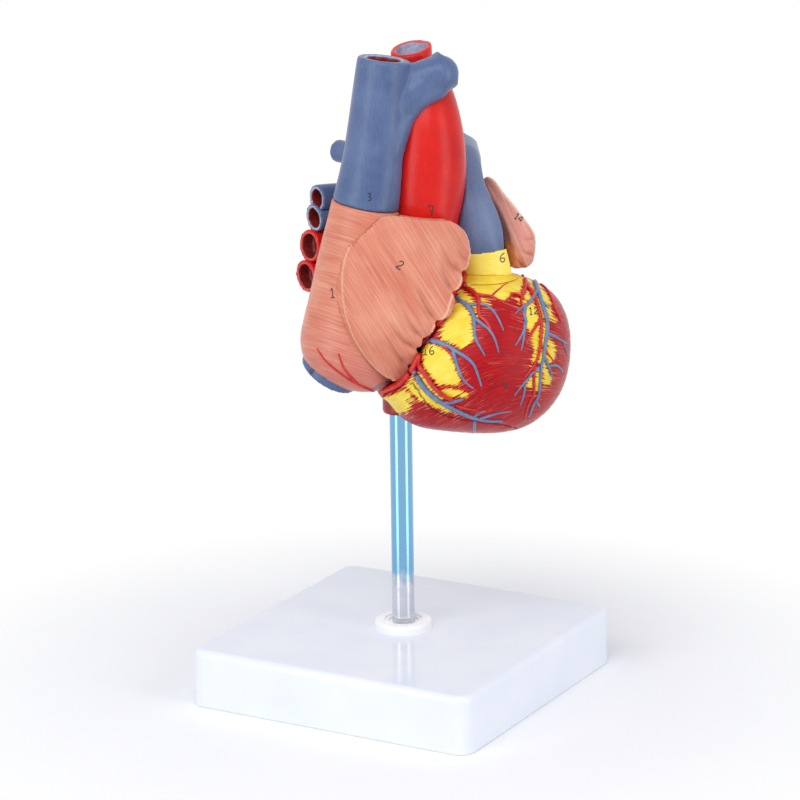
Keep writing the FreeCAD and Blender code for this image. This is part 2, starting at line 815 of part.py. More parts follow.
trunk_outside = vessel(
    "trunk_outside",
    (at(33, -17.5, 67), (-0.1, 0.2, 1), half("pulmonary_root_diameter")),
    (at(31.5, -14, 82), (-0.12, 0.33, 1), between(*PULMONARY_TRUNK, 0.15)),
    (at(31.3, -7, 96), (0.1, 0.6, 0.8), between(*PULMONARY_TRUNK, 0.55)),
    pulmonary_fork,
)
left_pulmonary_end = (at(52, 20, 110), (0.65, 0.76, 0), half("pulmonary_artery_diameter"))
right_pulmonary_outside = vessel(
    "right_pulmonary_outside",
    (at(31, -1, 99), (-1, 0.6, 0), half("pulmonary_artery_diameter")),
    (at(12, 14, 96.5), (-1, 0.5, -0.1), half("pulmonary_artery_diameter")),
    (at(-4, 24, 93), (-1, 0.45, -0.1), half("pulmonary_artery_diameter")),
    (at(-11, 27, 91.5), (-1, 0.3, -0.05), half("pulmonary_artery_diameter", 0.8)),
)


OUT_OF_INFERIOR = (-0.225, 0.52, -0.82)
inferior_end = (at(-28.8, 14.5, 20), OUT_OF_INFERIOR, half("inferior_cava_diameter"))
inferior_outside = vessel(
    "inferior_outside",
    (at(-26, 8.1, 30), OUT_OF_INFERIOR, half("inferior_cava_diameter", 0.94)),
    (at(-27.3, 11.1, 25.3), OUT_OF_INFERIOR, half("inferior_cava_diameter", 0.97)),
    inferior_end,
)
azygos_end = (at(-11.9, 25.8, 115), (0, 1, 0), half("azygos_diameter"))
azygos_outside = vessel(
    "azygos_outside",
    (at(-12, 6, 113), (0.02, 1, 0.08), half("azygos_diameter")),
    (at(-12, 16, 114.5), (0.01, 1, 0.06), half("azygos_diameter", 0.97)),
    azygos_end,
)
left_pulmonary_outside = vessel("left_pulmonary_outside", pulmonary_fork, left_pulmonary_end)


def branch(name, start, bend, end):
    """A side branch that starts inside its parent, with its end's own size all along."""
    direction, radius = end[1], end[2]
    return vessel(name, (start, direction, radius), (bend, direction, radius), end)


trunk_artery_outside = branch(
    "trunk_artery_outside", at(14, 4.5, 140), at(14.4, 6, 150), trunk_artery_end
)
carotid_outside = branch("carotid_outside", at(20.5, 13, 143), at(21.3, 13.8, 150), carotid_end)
subclavian_outside = branch(
    "subclavian_outside", at(26.3, 20.4, 141), at(27.1, 21.2, 148), subclavian_end
)
upper_lobar_end = (at(-22, 29, 94.7), (-1, 0.1, 0), half("lobar_artery_diameter"))
lower_lobar_end = (at(-23, 30, 86), (-1, 0.1, -0.05), half("lobar_artery_diameter", 1.05))
upper_lobar_outside = branch(
    "upper_lobar_outside", at(-6, 25, 94), at(-14, 27.5, 94.5), upper_lobar_end
)
lower_lobar_outside = branch(
    "lower_lobar_outside", at(-6, 26, 89), at(-14, 28.5, 87.5), lower_lobar_end
)
VEIN_ENDS = {
    "right_upper_pulmonary_vein": (at(-24.7, 31.5, 73.5), (-1, 0.05, 0.05)),
    "right_lower_pulmonary_vein": (at(-26.1, 32.6, 59.9), (-1, 0.05, -0.05)),
    "left_upper_pulmonary_vein": (at(47, 36, 79), (1, 0.3, 0.1)),
    "left_lower_pulmonary_vein": (at(47, 36, 62.5), (1, 0.3, -0.1)),
}
ring_cone = doc.addObject("Part::Cone", "ring_cone")
ring_cone.Placement = Placement(at(33.1, -18.8, 57), Rotation(UP, Vector(-0.03, 0.12, 1)))
bind(
    ring_cone,
    Radius1=half("pulmonary_ring_diameter", 1.01),
    Radius2=half("pulmonary_ring_diameter", 0.95),
    Height="<pulmonary_ring_height>",
)
above_roof = casting("above_roof", zone_above(at(0, 0, ROOF).z))
ring_outside = common("ring_outside", ring_cone, above_roof)


# ---------------------------------------------------------------- magnets

# Places of the magnet pairs on the parting surface: along its line, and up.
MAGNETS = [(0.30, 12.5), (0.60, 16), (0.80, 47)]


def magnet_axes():
    """Each magnet's place on the parting surface and the way that the surface faces."""
    axes = []
    for share, level in MAGNETS:
        curve = parting_curve(level)
        first, last = curve.FirstParameter, curve.LastParameter
        parameter = first + share * (last - first)
        tangent = curve.tangent(parameter)[0]
        facing = tangent.cross(Vector(0, PARTING_LEAN, 1)).normalize()
        axes.append((curve.value(parameter), facing))
    return axes


def magnet_pins(name, forward, setback):
    """A disc for each magnet, set into the casting in front or the one behind."""
    pins = []
    for place, facing in magnet_axes():
        inward = facing if forward else facing * -1
        face = place + facing * (size("parting_gap") if forward else 0)
        start = face + inward * setback
        pins.append(pin(name, start, inward, half("magnet_diameter"), "<magnet_thickness>"))
    return pins


def magnet_seats(name, forward):
    """The pockets for those discs, open at the parting surface."""
    seats = []
    for place, facing in magnet_axes():
        inward = facing if forward else facing * -1
        face = place + facing * (size("parting_gap") if forward else 0)
        length = "<magnet_thickness> + <magnet_setback> + 1"
        seats.append(pin(name, face - inward, inward, half("magnet_diameter"), length))
    return seats


def make_magnets():
    """Three discs in the rear casting and three in the front wall."""
    setback = size("magnet_setback")
    rear = fuse("rear_magnet_discs", *magnet_pins("rear_magnet", False, setback))
    front = fuse("front_magnet_discs", *magnet_pins("front_magnet", True, setback))
    on_heart(rear, "heart_magnets")
    on_heart(front, "wall_magnets")


# ---------------------------------------------------------------- ventricles


def make_ventricle_back(hollow):
    """The ventricles' rear casting, left when the front wall and its room are taken off."""
    behind = casting("room_behind", zone_behind())
    above = casting("room_above", zone_above(at(0, 0, ROOF).z))
    under = casting("room_auricle", auricle_prism())
    room = cut("wall_room", ventricles, behind, above, under)
    seats = magnet_seats("rear_seat", False)
    rear = cut("ventricle_rear", hollow, room, socket_hole, *seats)
    return on_heart(main_piece("ventricle_back", rear), "ventricle_back")


def make_front_wall(hollow):
    """The lift-off front of the ventricles, a clearance away from all that it meets."""
    gap = size("parting_gap")
    behind = casting("wall_behind", zone_behind(gap))
    above = casting("wall_above", zone_above(at(0, 0, ROOF).z - gap))
    auricle = casting("wall_auricle", auricle_prism(gap))
    seats = magnet_seats("front_seat", True)
    front = cut("ventricle_front", hollow, behind, above, auricle, *seats)
    return on_heart(main_piece("front_wall", front), "front_wall")


# ---------------------------------------------------------------- atria and auricles


def make_right_atrium():
    """The right atrium, hollow behind the tricuspid valve."""
    around = [ventricles, aorta_outside, socket_hole, inferior_outside]
    hollow = [right_atrium_space, tricuspid_way]
    body = cut("right_atrium_body", right_atrium_outside, *around, *hollow)
    return on_heart(main_piece("right_atrium", body), "right_atrium")


def make_left_atrium():
    """The left atrium, hollow behind the mitral valve."""
    around = [ventricles, right_atrium_outside, aorta_outside]
    hollow = [left_atrium_space, mitral_way]
    body = cut("left_atrium_body", left_atrium_outside, *around, *hollow)
    return on_heart(main_piece("left_atrium", body), "left_atrium")


def make_right_auricle():
    """The scalloped flap that lies over the atrium, the aorta's root and the ventricle."""
    dome = casting("auricle_dome", right_auricle_form())
    outline = casting("auricle_outline", auricle_prism())
    flap = common("auricle_flap", dome, outline)
    around = [ventricles, right_atrium_outside, aorta_outside, trunk_outside, ring_outside]
    clear = cut("auricle_clear", flap, *around)
    return on_heart(main_piece("right_auricle", clear), "right_auricle")


def make_left_auricle():
    """The left auricle, which reaches round the pulmonary trunk from the left atrium."""
    whole = casting("left_auricle_whole", left_auricle_form())
    above = casting("left_auricle_room", zone_above(at(0, 0, ROOF).z + size("parting_gap")))
    lowered = common("left_auricle_lowered", whole, above)
    upper_vein = doc.getObject("left_upper_pulmonary_vein_outside")
    around = [ring_outside, ventricles, left_atrium_outside, trunk_outside]
    body = cut("left_auricle_body", lowered, *around, left_pulmonary_outside, upper_vein)
    return on_heart(main_piece("left_auricle", body), "left_auricle")


# ---------------------------------------------------------------- great vessels


def vessel_piece(name, outside, end, wall, *around):
    """A vessel with a blind hole in its cut end, without what it runs into."""
    lumen = open_end(f"{name}_lumen", end, f"<{wall}>")
    return on_heart(main_piece(name, cut(f"{name}_body", outside, lumen, *around)), name)


def make_great_vessels():
    """Every vessel that leaves the heart, each a casting with a blind cut end."""
    vessel_piece("superior_vena_cava", cava_outside, cava_end, "cava_wall", aorta_outside)
    vessel_piece(
        "left_brachiocephalic_vein",
        brachiocephalic_outside,
        brachiocephalic_end,
        "artery_wall",
        cava_outside,
        aorta_outside,
    )
    vessel_piece("azygos_vein", azygos_outside, azygos_end, "lobar_wall", cava_outside)
    vessel_piece(
        "inferior_vena_cava",
        inferior_outside,
        inferior_end,
        "inferior_cava_wall",
        socket_hole,
    )
    heart = [ventricles, aortic_way, mitral_way]
    vessel_piece("aorta", aorta_outside, aorta_end, "artery_wall", *heart)
    arch = [
        ("brachiocephalic_trunk", trunk_artery_outside, trunk_artery_end, "artery_wall"),
        ("left_carotid_artery", carotid_outside, carotid_end, "lobar_wall"),
        ("left_subclavian_artery", subclavian_outside, subclavian_end, "lobar_wall"),
    ]
    around = [aorta_outside]
    for name, outside, end, wall in arch:
        vessel_piece(name, outside, end, wall, *around)
        around.append(outside)


def make_pulmonary_arteries():
    """The pulmonary root, trunk and arteries."""
    root = cut("ring_body", ring_outside, ventricles, trunk_outside, aorta_outside, pulmonary_way)
    on_heart(main_piece("pulmonary_ring", root), "pulmonary_ring")
    trunk = cut("trunk_body", trunk_outside, aorta_outside, pulmonary_way)
    on_heart(main_piece("pulmonary_trunk", trunk), "pulmonary_trunk")
    vessel_piece("left_pulmonary_artery", left_pulmonary_outside, left_pulmonary_end, "artery_wall")
    around = [trunk_outside, aorta_outside, left_atrium_outside, cava_outside]
    right = cut("right_artery_body", right_pulmonary_outside, *around, left_pulmonary_outside)
    on_heart(main_piece("right_pulmonary_artery", right), "right_pulmonary_artery")
    parent = [right_pulmonary_outside, left_atrium_outside, cava_outside, right_atrium_outside]
    vessel_piece("upper_lobar_artery", upper_lobar_outside, upper_lobar_end, "lobar_wall", *parent)
    vessel_piece(
        "lower_lobar_artery",
        lower_lobar_outside,
        lower_lobar_end,
        "lobar_wall",
        *parent,
        upper_lobar_outside,
    )


def make_pulmonary_veins():
    """Two veins on each side, which run into the left atrium."""
    for name, (mouth, direction) in VEIN_ENDS.items():
        end = (mouth, direction, half("pulmonary_vein_diameter"))
        back = Vector(*direction).normalize() * -1
        outside = branch(f"{name}_outside", mouth + back * 26, mouth + back * 12, end)
        around = [left_atrium_outside, right_atrium_outside, lower_lobar_outside]
        if "lower" in name:
            around.append(doc.getObject(name.replace("lower", "upper") + "_outside"))
        vessel_piece(name, outside, end, "lobar_wall", *around)


# ---------------------------------------------------------------- valves

# Tips of the papillary muscles and the points in the wall that they grow from.
RIGHT_PAPILLARIES = [(at(9, -32, 10), at(17, -31, -6)), (at(14, -31, 17), at(27, -25, 14))]
LEFT_PAPILLARIES = [(at(28, -11, 27), at(39, -15, 12)), (at(24, -13, 25), at(29, -26, 12))]


def leaflets(name, valve, way, diameter, count):
    """A cone of leaflets that hangs from its ring, parted by slits."""
    taper = "<leaflet_length> / 3"
    inner = f"<{diameter}> / 2 - <leaflet_thickness>"
    place = Placement(valve, Rotation(UP, way))
    outside = doc.addObject("Part::Cone", f"{name}_outside")
    inside = doc.addObject("Part::Cone", f"{name}_inside")
    bind(outside, Radius1=half(diameter), Radius2=f"{half(diameter)} - {taper}")
    bind(inside, Radius1=inner, Radius2=f"{inner} - {taper}")
    for cone in (outside, inside):
        cone.Placement = place
        bind(cone, Height="<leaflet_length>")
    slits = []
    for i in range(count):
        slit = doc.addObject("Part::Box", f"{name}_slit")
        turn = Rotation(UP, 360 * i / count)
        corner = turn.multVec(Vector(0, -size("leaflet_slit") / 2, size("leaflet_length") / 4))
        slit.Placement = place.multiply(Placement(corner, turn))
        bind(slit, Length=half(diameter), Width="<leaflet_slit>", Height="<leaflet_length>")
        slits.append(slit)
    return cut(name, outside, inside, *slits)


def chordae(name, valve, way, diameter, count, tips):
    """Thin cords from the middle of each leaflet's free edge to the muscles' tips."""
    place = Placement(valve, Rotation(UP, way))
    radius = size(diameter) / 2 - size("leaflet_length") / 3 - size("leaflet_thickness") / 2
    cords = []
    for i in range(2 * count):
        angle = 180 * (i + 0.5) / count
        edge = Rotation(UP, angle).multVec(Vector(radius, 0, size("leaflet_length") - 0.3))
        start = place.multVec(edge)
        tip = min(tips, key=lambda place: place.distanceToPoint(start))
        cord = pin(name, start, tip - start, half("chorda_diameter"), "1")
        cord.setExpression("Height", None)
        cord.Height = (tip - start).Length
        cords.append(cord)
    return cords


def muscles(name, papillaries, space):
    """Tapering muscles that stand on the chamber's wall."""
    cones = []
    for tip, foot in papillaries:
        cone = doc.addObject("Part::Cone", f"{name}_cone")
        cone.Placement = Placement(foot, Rotation(UP, tip - foot))
        bind(cone, Radius1=half("papillary_diameter"), Radius2=half("papillary_diameter", 0.4))
        cone.Height = (tip - foot).Length
        cones.append(cone)
    return on_heart(common(name, fuse(f"{name}_cones", *cones), space), name)


def make_inlet_valve(name, valve, way, diameter, count, papillaries):
    """Leaflets and chordae as one moulding, clear of the muscles."""
    sheet_form = leaflets(f"{name}_leaflets", valve, way, diameter, count)
    cords = chordae(f"{name}_cord", valve, way, diameter, count, [tip for tip, _ in papillaries])
    whole = fuse(f"{name}_whole", sheet_form, *cords)
    return whole


def make_outlet_valve(name, valve, way):
    """Three pocket-shaped cusps that fill the way out."""
    place = Placement(valve, Rotation(UP, way))
    bowl = ball(f"{name}_bowl", valve, half("outflow_diameter"))
    inside = ball(f"{name}_inside", valve, f"{half('outflow_diameter')} - <cusp_thickness>")
    upper = doc.addObject("Part::Box", f"{name}_upper")
    side = "2 * <outflow_diameter>"
    bind(upper, Length=side, Width=side, Height=side)
    reach = size("outflow_diameter")
    upper.Placement = place.multiply(Placement(Vector(-reach, -reach, 0), Rotation()))
    slits = []
    for i in range(3):
        slit = doc.addObject("Part::Box", f"{name}_slit")
        turn = Rotation(UP, 120 * i)
        corner = turn.multVec(Vector(0, -size("leaflet_slit") / 4, -reach))
        slit.Placement = place.multiply(Placement(corner, turn))
        bind(slit, Length="<outflow_diameter>", Width="<leaflet_slit> / 2", Height=side)
        slits.append(slit)
    return on_heart(cut(name, bowl, inside, upper, *slits), name)


def make_valves():
    """The four valves and the muscles that hold the two inlet ones."""
    right = muscles("right_papillary_muscles", RIGHT_PAPILLARIES, right_space)
    left = muscles("left_papillary_muscles", LEFT_PAPILLARIES, left_space)
    tricuspid = make_inlet_valve(
        "tricuspid", TRICUSPID, INTO_RIGHT, "tricuspid_diameter", 3, RIGHT_PAPILLARIES
    )
    mitral = make_inlet_valve("mitral", MITRAL, INTO_LEFT, "mitral_diameter", 2, LEFT_PAPILLARIES)
    for name, whole, held in (("tricuspid", tricuspid, right), ("mitral", mitral, left)):
        clear = doc.addObject("Part::Cut", f"{name}_valve")
        clear.Base = whole
        clear.Tool = doc.getObject(f"{held.Name}_cones")
        on_heart(clear, f"{name}_valve")
    make_outlet_valve("aortic_valve", AORTIC, OUT_OF_LEFT)
    make_outlet_valve("pulmonary_valve", PULMONARY, OUT_OF_RIGHT)


# ---------------------------------------------------------------- the whole model


def build():
    make_base_plate()
    make_rod_collar()
    make_support_rod()
    make_rod_screw()
    make_rod_washer()
    make_rod_socket()
    hollow = cut("ventricles_hollow", ventricles, *chambers)
    make_ventricle_back(hollow)
    make_front_wall(hollow)
    make_right_atrium()
    make_left_atrium()
    make_right_auricle()
    make_great_vessels()
    make_pulmonary_arteries()
    make_pulmonary_veins()
    make_left_auricle()
    make_valves()
    make_magnets()


def check():
    """Stops on any object that failed and on any piece that isn't a sound solid."""
    doc.recompute()
    failed = [obj.Name for obj in doc.Objects if {"Invalid", "Error"} & set(obj.State)]
    if failed:
        raise RuntimeError(f"failed objects: {failed}")
    for piece in subparts:
        shape = piece.Shape
        if shape.isNull() or not shape.isValid() or not shape.Solids:
            raise RuntimeError(f"{piece.Label} is not a sound solid")


def export():
    os.makedirs("parts", exist_ok=True)
    for piece in subparts:
        piece.Shape.exportStep(f"parts/{piece.Label}.step")


build()
check()
export()
print(f"{len(subparts)} parts written")
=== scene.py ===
"""Looks of a painted human heart model on its stand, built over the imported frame."""

import math
from itertools import groupby

import bmesh
import bpy
import numpy as np
from mathutils import Matrix, Vector
from mathutils.bvhtree import BVHTree


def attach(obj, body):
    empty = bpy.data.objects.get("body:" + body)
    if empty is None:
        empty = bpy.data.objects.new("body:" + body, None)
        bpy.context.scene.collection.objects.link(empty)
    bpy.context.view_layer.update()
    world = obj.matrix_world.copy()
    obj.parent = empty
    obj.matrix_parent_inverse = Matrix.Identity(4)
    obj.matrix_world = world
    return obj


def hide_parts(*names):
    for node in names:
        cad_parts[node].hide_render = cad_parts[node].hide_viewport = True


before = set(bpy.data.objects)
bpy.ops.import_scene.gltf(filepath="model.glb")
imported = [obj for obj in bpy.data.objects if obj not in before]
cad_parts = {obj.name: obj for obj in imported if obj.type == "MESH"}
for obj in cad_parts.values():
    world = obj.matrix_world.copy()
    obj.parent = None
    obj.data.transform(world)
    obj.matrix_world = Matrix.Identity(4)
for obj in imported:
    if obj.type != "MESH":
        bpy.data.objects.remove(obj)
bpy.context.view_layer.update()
MM = 0.001
IMAGE = 800  # pixels across the square picture


def placed(name, data):
    """A new object of the scene."""
    piece = bpy.data.objects.new(name, data)
    bpy.context.collection.objects.link(piece)
    return piece


# ---- camera

TURN = math.radians(29.685)  # how far the camera stands to the right of the stand's front
TILT = math.radians(15.032)  # how far it looks down
ROLL = math.radians(0.785)
DISTANCE = 1460.7 * MM
FOCAL_PIXELS = 3314.1
SENSOR = 36.0

ahead = Vector((-math.sin(TURN) * math.cos(TILT), math.cos(TURN) * math.cos(TILT), -math.sin(TILT)))
level = Vector((math.cos(TURN), math.sin(TURN), 0))
above = level.cross(ahead)
right = level * math.cos(ROLL) - above * math.sin(ROLL)
upward = level * math.sin(ROLL) + above * math.cos(ROLL)
eye = level * (-0.24 * MM) + Vector((0, 0, 131.35 * MM)) - ahead * DISTANCE


def make_camera():
    data = bpy.data.cameras.new("camera")
    data.sensor_width = SENSOR
    data.lens = FOCAL_PIXELS / IMAGE * SENSOR
    data.clip_start = 0.05
    camera = placed("camera", data)
    axes = (right, upward, -ahead)
    camera.matrix_world = Matrix.Translation(eye) @ Matrix(axes).transposed().to_4x4()
    bpy.context.scene.camera = camera


def sight(x, y):
    """The direction in which the camera sees a pixel."""
    half = IMAGE / 2
    return (ahead + right * ((x - half) / FOCAL_PIXELS) - upward * ((y - half) / FOCAL_PIXELS)).normalized()


# ---- the heart's own axes

HEART_TURN = math.radians(70)
SEAT_HEIGHT = 126.0


def heart_point(x, y, z):
    """A point in the heart's axes (X to its left, Y to its back, Z up, mm) in the frame."""
    c, s = math.cos(HEART_TURN), math.sin(HEART_TURN)
    return Vector((x * c - y * s, x * s + y * c, z + SEAT_HEIGHT)) * MM


def heart_way(x, y, z):
    return (heart_point(x, y, z) - heart_point(0, 0, 0)).normalized()


# ---- colour and shader helpers


def colour(code):
    """An sRGB hex colour as the linear values that shaders take."""
    parts = [int(code[i : i + 2], 16) / 255 for i in (1, 3, 5)]
    return [v / 12.92 if v <= 0.04045 else ((v + 0.055) / 1.055) ** 2.4 for v in parts] + [1.0]


def add(tree, kind, settings=(), **inputs):
    """A shader node with its settings, and its inputs given as values or as links."""
    node = tree.nodes.new(kind)
    for name, value in dict(settings).items():
        setattr(node, name, value)
    for name, value in inputs.items():
        socket = find_socket(node, name)
        if isinstance(value, bpy.types.NodeSocket):
            tree.links.new(value, socket)
        else:
            socket.default_value = value
    return node


def find_socket(node, name):
    """An input by its name written with underscores, or by its number after 'in'."""
    if name.startswith("in") and name[2:].isdigit():
        return node.inputs[int(name[2:])]
    return node.inputs[name.replace("_", " ")]


def new_material(name):
    material = bpy.data.materials.new(name)
    material.use_nodes = True
    material.node_tree.nodes.clear()
    return material, material.node_tree


def finish_surface(tree, shade, bump=None, **inputs):
    """The principled shader and the output; bump is a pair of height and depth in metres."""
    surface = add(tree, "ShaderNodeBsdfPrincipled", Base_Color=shade, **inputs)
    if bump:
        height, depth = bump
        relief = add(tree, "ShaderNodeBump", Height=height, Distance=depth, Strength=1.0)
        tree.links.new(relief.outputs[0], surface.inputs["Normal"])
    add(tree, "ShaderNodeOutputMaterial", Surface=surface.outputs[0])


def mix(tree, share, first, second):
    """Two colours mixed by a share."""
    node = add(tree, "ShaderNodeMix", {"data_type": "RGBA"}, in0=share, in6=first, in7=second)
    return node.outputs[2]


def ramp(tree, value, low, high):
    """A value brought from low..high to 0..1."""
    node = add(tree, "ShaderNodeMapRange", {"clamp": True}, in0=value, in1=low, in2=high)
    return node.outputs[0]


def maths(tree, operation, *values):
    inputs = {f"in{number}": value for number, value in enumerate(values)}
    return add(tree, "ShaderNodeMath", {"operation": operation}, **inputs).outputs[0]


def tones(tree, value, low, high, dark, light):
    """A dark and a light colour, blended by a value brought from low..high."""
    return mix(tree, ramp(tree, value, low, high), colour(dark), colour(light))


def tint(tree, shade, value, strength, code):
    """A colour laid over a shade where a value is high."""
    return mix(tree, maths(tree, "MULTIPLY", value, strength), shade, colour(code))


def mean(tree, first, second, share):
    """Two values mixed by a fixed share of the second."""
    node = add(tree, "ShaderNodeMix", {"data_type": "FLOAT"}, in0=share, in2=first, in3=second)
    return node.outputs[0]


def mask(tree, name):
    """A mask that a skin carries, 0 where it has none."""
    return add(tree, "ShaderNodeAttribute", {"attribute_name": name}).outputs["Fac"]


def noise_at(tree, place, scales, detail):
    """Noise over coordinates that are first multiplied by a scale per axis."""
    place = add(tree, "ShaderNodeVectorMath", {"operation": "MULTIPLY"}, in0=place, in1=scales)
    noise = add(tree, "ShaderNodeTexNoise", Vector=place.outputs[0], Scale=1.0, Detail=detail)
    return noise.outputs["Fac"]


def spots(tree, size_mm, detail=3.0):
    """Noise whose features are about the given size, or the given sizes along the three axes."""
    place = add(tree, "ShaderNodeTexCoord").outputs["Object"]
    sizes = size_mm if isinstance(size_mm, tuple) else (size_mm,) * 3
    return noise_at(tree, place, [1 / (side * MM) for side in sizes], detail)


def streaks(tree, along_mm, across_mm, detail=2.0):
    """Noise drawn out along the fibres that a skin carries as coordinates in millimetres."""
    fibre = add(tree, "ShaderNodeAttribute", {"attribute_name": "fibre"}).outputs["Vector"]
    return noise_at(tree, fibre, [1 / along_mm, 1 / across_mm, 1 / along_mm], detail)


# ---- materials


def even_finish(name, dark, light, tone, grain, depth, low=0.35, **inputs):
    """Two close tones over a fine relief; without a grain of its own the relief follows the tones."""
    material, tree = new_material(name)
    pattern = spots(tree, tone, 3.0 if grain else 2.0)
    shade = tones(tree, pattern, low, 1 - low, dark, light)
    relief = spots(tree, grain) if grain else pattern
    finish_surface(tree, shade, (relief, depth), **inputs)
    return material


def base_plastic():
    """Injection-moulded white ABS: satin, with a faint cool tone and a fine moulded grain."""
    material, tree = new_material("base_plastic")
    shade = tones(tree, spots(tree, 30), 0.3, 0.7, "#e8edf7", "#eff2f9")
    gloss = maths(tree, "MULTIPLY_ADD", spots(tree, 6), 0.04, 0.11)
    finish_surface(tree, shade, (spots(tree, 0.5), 0.000015), Roughness=gloss)
    return material


def collar_plastic():
    """A turned nylon ring, whiter than the base and a little softer in its gloss."""
    return even_finish("collar_plastic", "#fafafc", "#fdfdfe", 5, 0.6, 0.00002, Roughness=0.35)


def rod_steel():
    """A polished stainless rod, tinted blue above the foot."""
    material, tree = new_material("rod_steel")
    place = add(tree, "ShaderNodeTexCoord").outputs["Object"]
    height = add(tree, "ShaderNodeSeparateXYZ", Vector=place).outputs["Z"]
    ragged = maths(tree, "MULTIPLY_ADD", spots(tree, 3), 0.012, -0.006)
    # Blue from about 50 mm above the floor upwards, with a ragged border.
    blue_share = ramp(tree, maths(tree, "ADD", height, ragged), 0.046, 0.054)
    steel = tones(tree, spots(tree, 8), 0.3, 0.7, "#cfd2d8", "#dfe1e5")
    shade = mix(tree, blue_share, steel, colour("#7fb0d6"))
    drawn = spots(tree, (0.12, 0.12, 9), 2.0)
    gloss = maths(tree, "MULTIPLY_ADD", drawn, 0.06, 0.09)
    finish_surface(tree, shade, (drawn, 0.000004), Roughness=gloss, Metallic=1.0)
    return material


def screw_steel():
    """Zinc-plated steel with a fine crystalline grain."""
    shine = {"Roughness": 0.32, "Metallic": 1.0}
    return even_finish("screw_steel", "#9a9a98", "#b8b8b4", 1.5, 0.4, 0.00001, 0.3, **shine)


def magnet_nickel():
    """Nickel plate, bright, with fine handling scratches."""
    shine = {"Roughness": 0.18, "Metallic": 1.0}
    return even_finish("magnet_nickel", "#b9bbbf", "#cfd1d4", (0.1, 2, 0.1), None, 0.000006, **shine)


def painted_vessel(name, dark, light, rim, lumen):
    """Brushed enamel over cast vinyl: soft gloss, faint strokes, and a painted hollow end."""
    material, tree = new_material(name)
    brushed = spots(tree, (0.7, 0.7, 5))
    tone = mean(tree, spots(tree, 14), brushed, 0.35)
    shade = tones(tree, tone, 0.36, 0.62, dark, light)
    specks = ramp(tree, spots(tree, 0.9, 1.0), 0.76, 0.8)
    shade = tint(tree, shade, specks, 0.35, "#c9ced9")
    # A pale band round the rim of each open end, broken up by noise.
    pale_rim = ramp(tree, mean(tree, mask(tree, "rim"), spots(tree, 0.9), 0.3), 0.62, 0.8)
    shade = mix(tree, pale_rim, shade, colour(rim))
    inside = tones(tree, spots(tree, 2), 0.3, 0.7, lumen[0], lumen[1])
    shade = mix(tree, mask(tree, "lumen"), shade, inside)
    height = mean(tree, brushed, spots(tree, 0.6), 0.3)
    finish_surface(tree, shade, (height, 0.00006), Roughness=0.3, Specular_IOR_Level=0.3)
    return material


def painted_atrium(name, along, across, depth, dark="#d0755c", light="#de8d72"):
    """Salmon paint in broad streaks, with a painted highlight in cream on the carved fibres' ridges and
    painted shade in their grooves.
    """
    material, tree = new_material(name)
    fine = streaks(tree, along, across)
    broad = streaks(tree, along * 1.5, across * 8)
    shade = tones(tree, broad, 0.32, 0.68, dark, light)
    shade = tint(tree, shade, mask(tree, "low"), 0.6, "#cd786c")
    shade = tint(tree, shade, ramp(tree, spots(tree, 18), 0.5, 0.7), 0.5, "#eaa083")
    # Painted highlight: cream on the ridges of the fibres.
    shade = tint(tree, shade, ramp(tree, fine, 0.52, 0.7), 0.42, "#edb89e")
    # Painted shade: darker in the grooves between the fibres.
    shade = tint(tree, shade, ramp(tree, fine, 0.47, 0.3), 0.4, "#b5644f")
    # Painted highlight: cream along each auricle's border.
    shade = tint(tree, shade, mask(tree, "edge"), 0.7, "#f2c8a6")
    # Painted shade: darker in the creases between the lobes.
    shade = tint(tree, shade, mask(tree, "crease_shade"), 0.75, "#a5523f")
    height = mean(tree, fine, spots(tree, 0.7), 0.15)
    finish_surface(tree, shade, (height, depth), Roughness=0.33, Specular_IOR_Level=0.35)
    return material


def painted_ventricle():
    """Deep red muscle dry-brushed over yellow fat, with flesh-coloured chambers inside."""
    material, tree = new_material("painted_ventricle")
    fine = streaks(tree, 9, 0.7, 3.0)
    hairs = streaks(tree, 8, 0.35, 1.0)
    ragged = maths(tree, "MULTIPLY", maths(tree, "SUBTRACT", mean(tree, fine, hairs, 0.5), 0.5), 1.8)
    fat_share = ramp(tree, maths(tree, "ADD", mask(tree, "fat"), ragged), -0.03, 0.04)
    yellow = tones(tree, spots(tree, 7), 0.35, 0.65, "#f3d038", "#fde45c")
    lined = maths(tree, "MULTIPLY", ramp(tree, hairs, 0.42, 0.3), 0.35)
    yellow = mix(tree, lined, yellow, colour("#c9a032"))
    red = tones(tree, fine, 0.36, 0.64, "#9a0912", "#c0121c")
    red = mix(tree, ramp(tree, spots(tree, 9), 0.45, 0.7), red, colour("#ae0d17"))
    near_fat = ramp(tree, mask(tree, "fat"), -0.95, -0.15)
    patches = maths(tree, "MULTIPLY", ramp(tree, spots(tree, 6), 0.55, 0.66), 0.4)
    reach = maths(tree, "MAXIMUM", near_fat, patches)
    pale = maths(tree, "MULTIPLY", ramp(tree, hairs, 0.6, 0.66), maths(tree, "MULTIPLY", reach, 0.85))
    red = mix(tree, pale, red, colour("#e6ab98"))
    shade = mix(tree, fat_share, red, yellow)
    shade = tint(tree, shade, mask(tree, "seam"), 0.75, "#4a1513")
    flesh = tones(tree, spots(tree, 4), 0.35, 0.65, "#b95d50", "#d28370")
    shade = mix(tree, mask(tree, "chamber"), shade, flesh)
    section = tones(tree, spots(tree, 3), 0.35, 0.65, "#a83436", "#bd4a45")
    shade = mix(tree, mask(tree, "section"), shade, section)
    height = mean(tree, fine, hairs, 0.4)
    finish_surface(tree, shade, (height, 0.00028), Roughness=0.27, Specular_IOR_Level=0.18)
    return material


def painted_fat():
    """Yellow enamel on the band round the pulmonary root, with faint level brush strokes."""
    return even_finish("painted_fat", "#fbdf50", "#ffeb6e", (5, 5, 0.5), None, 0.00005, Roughness=0.36)


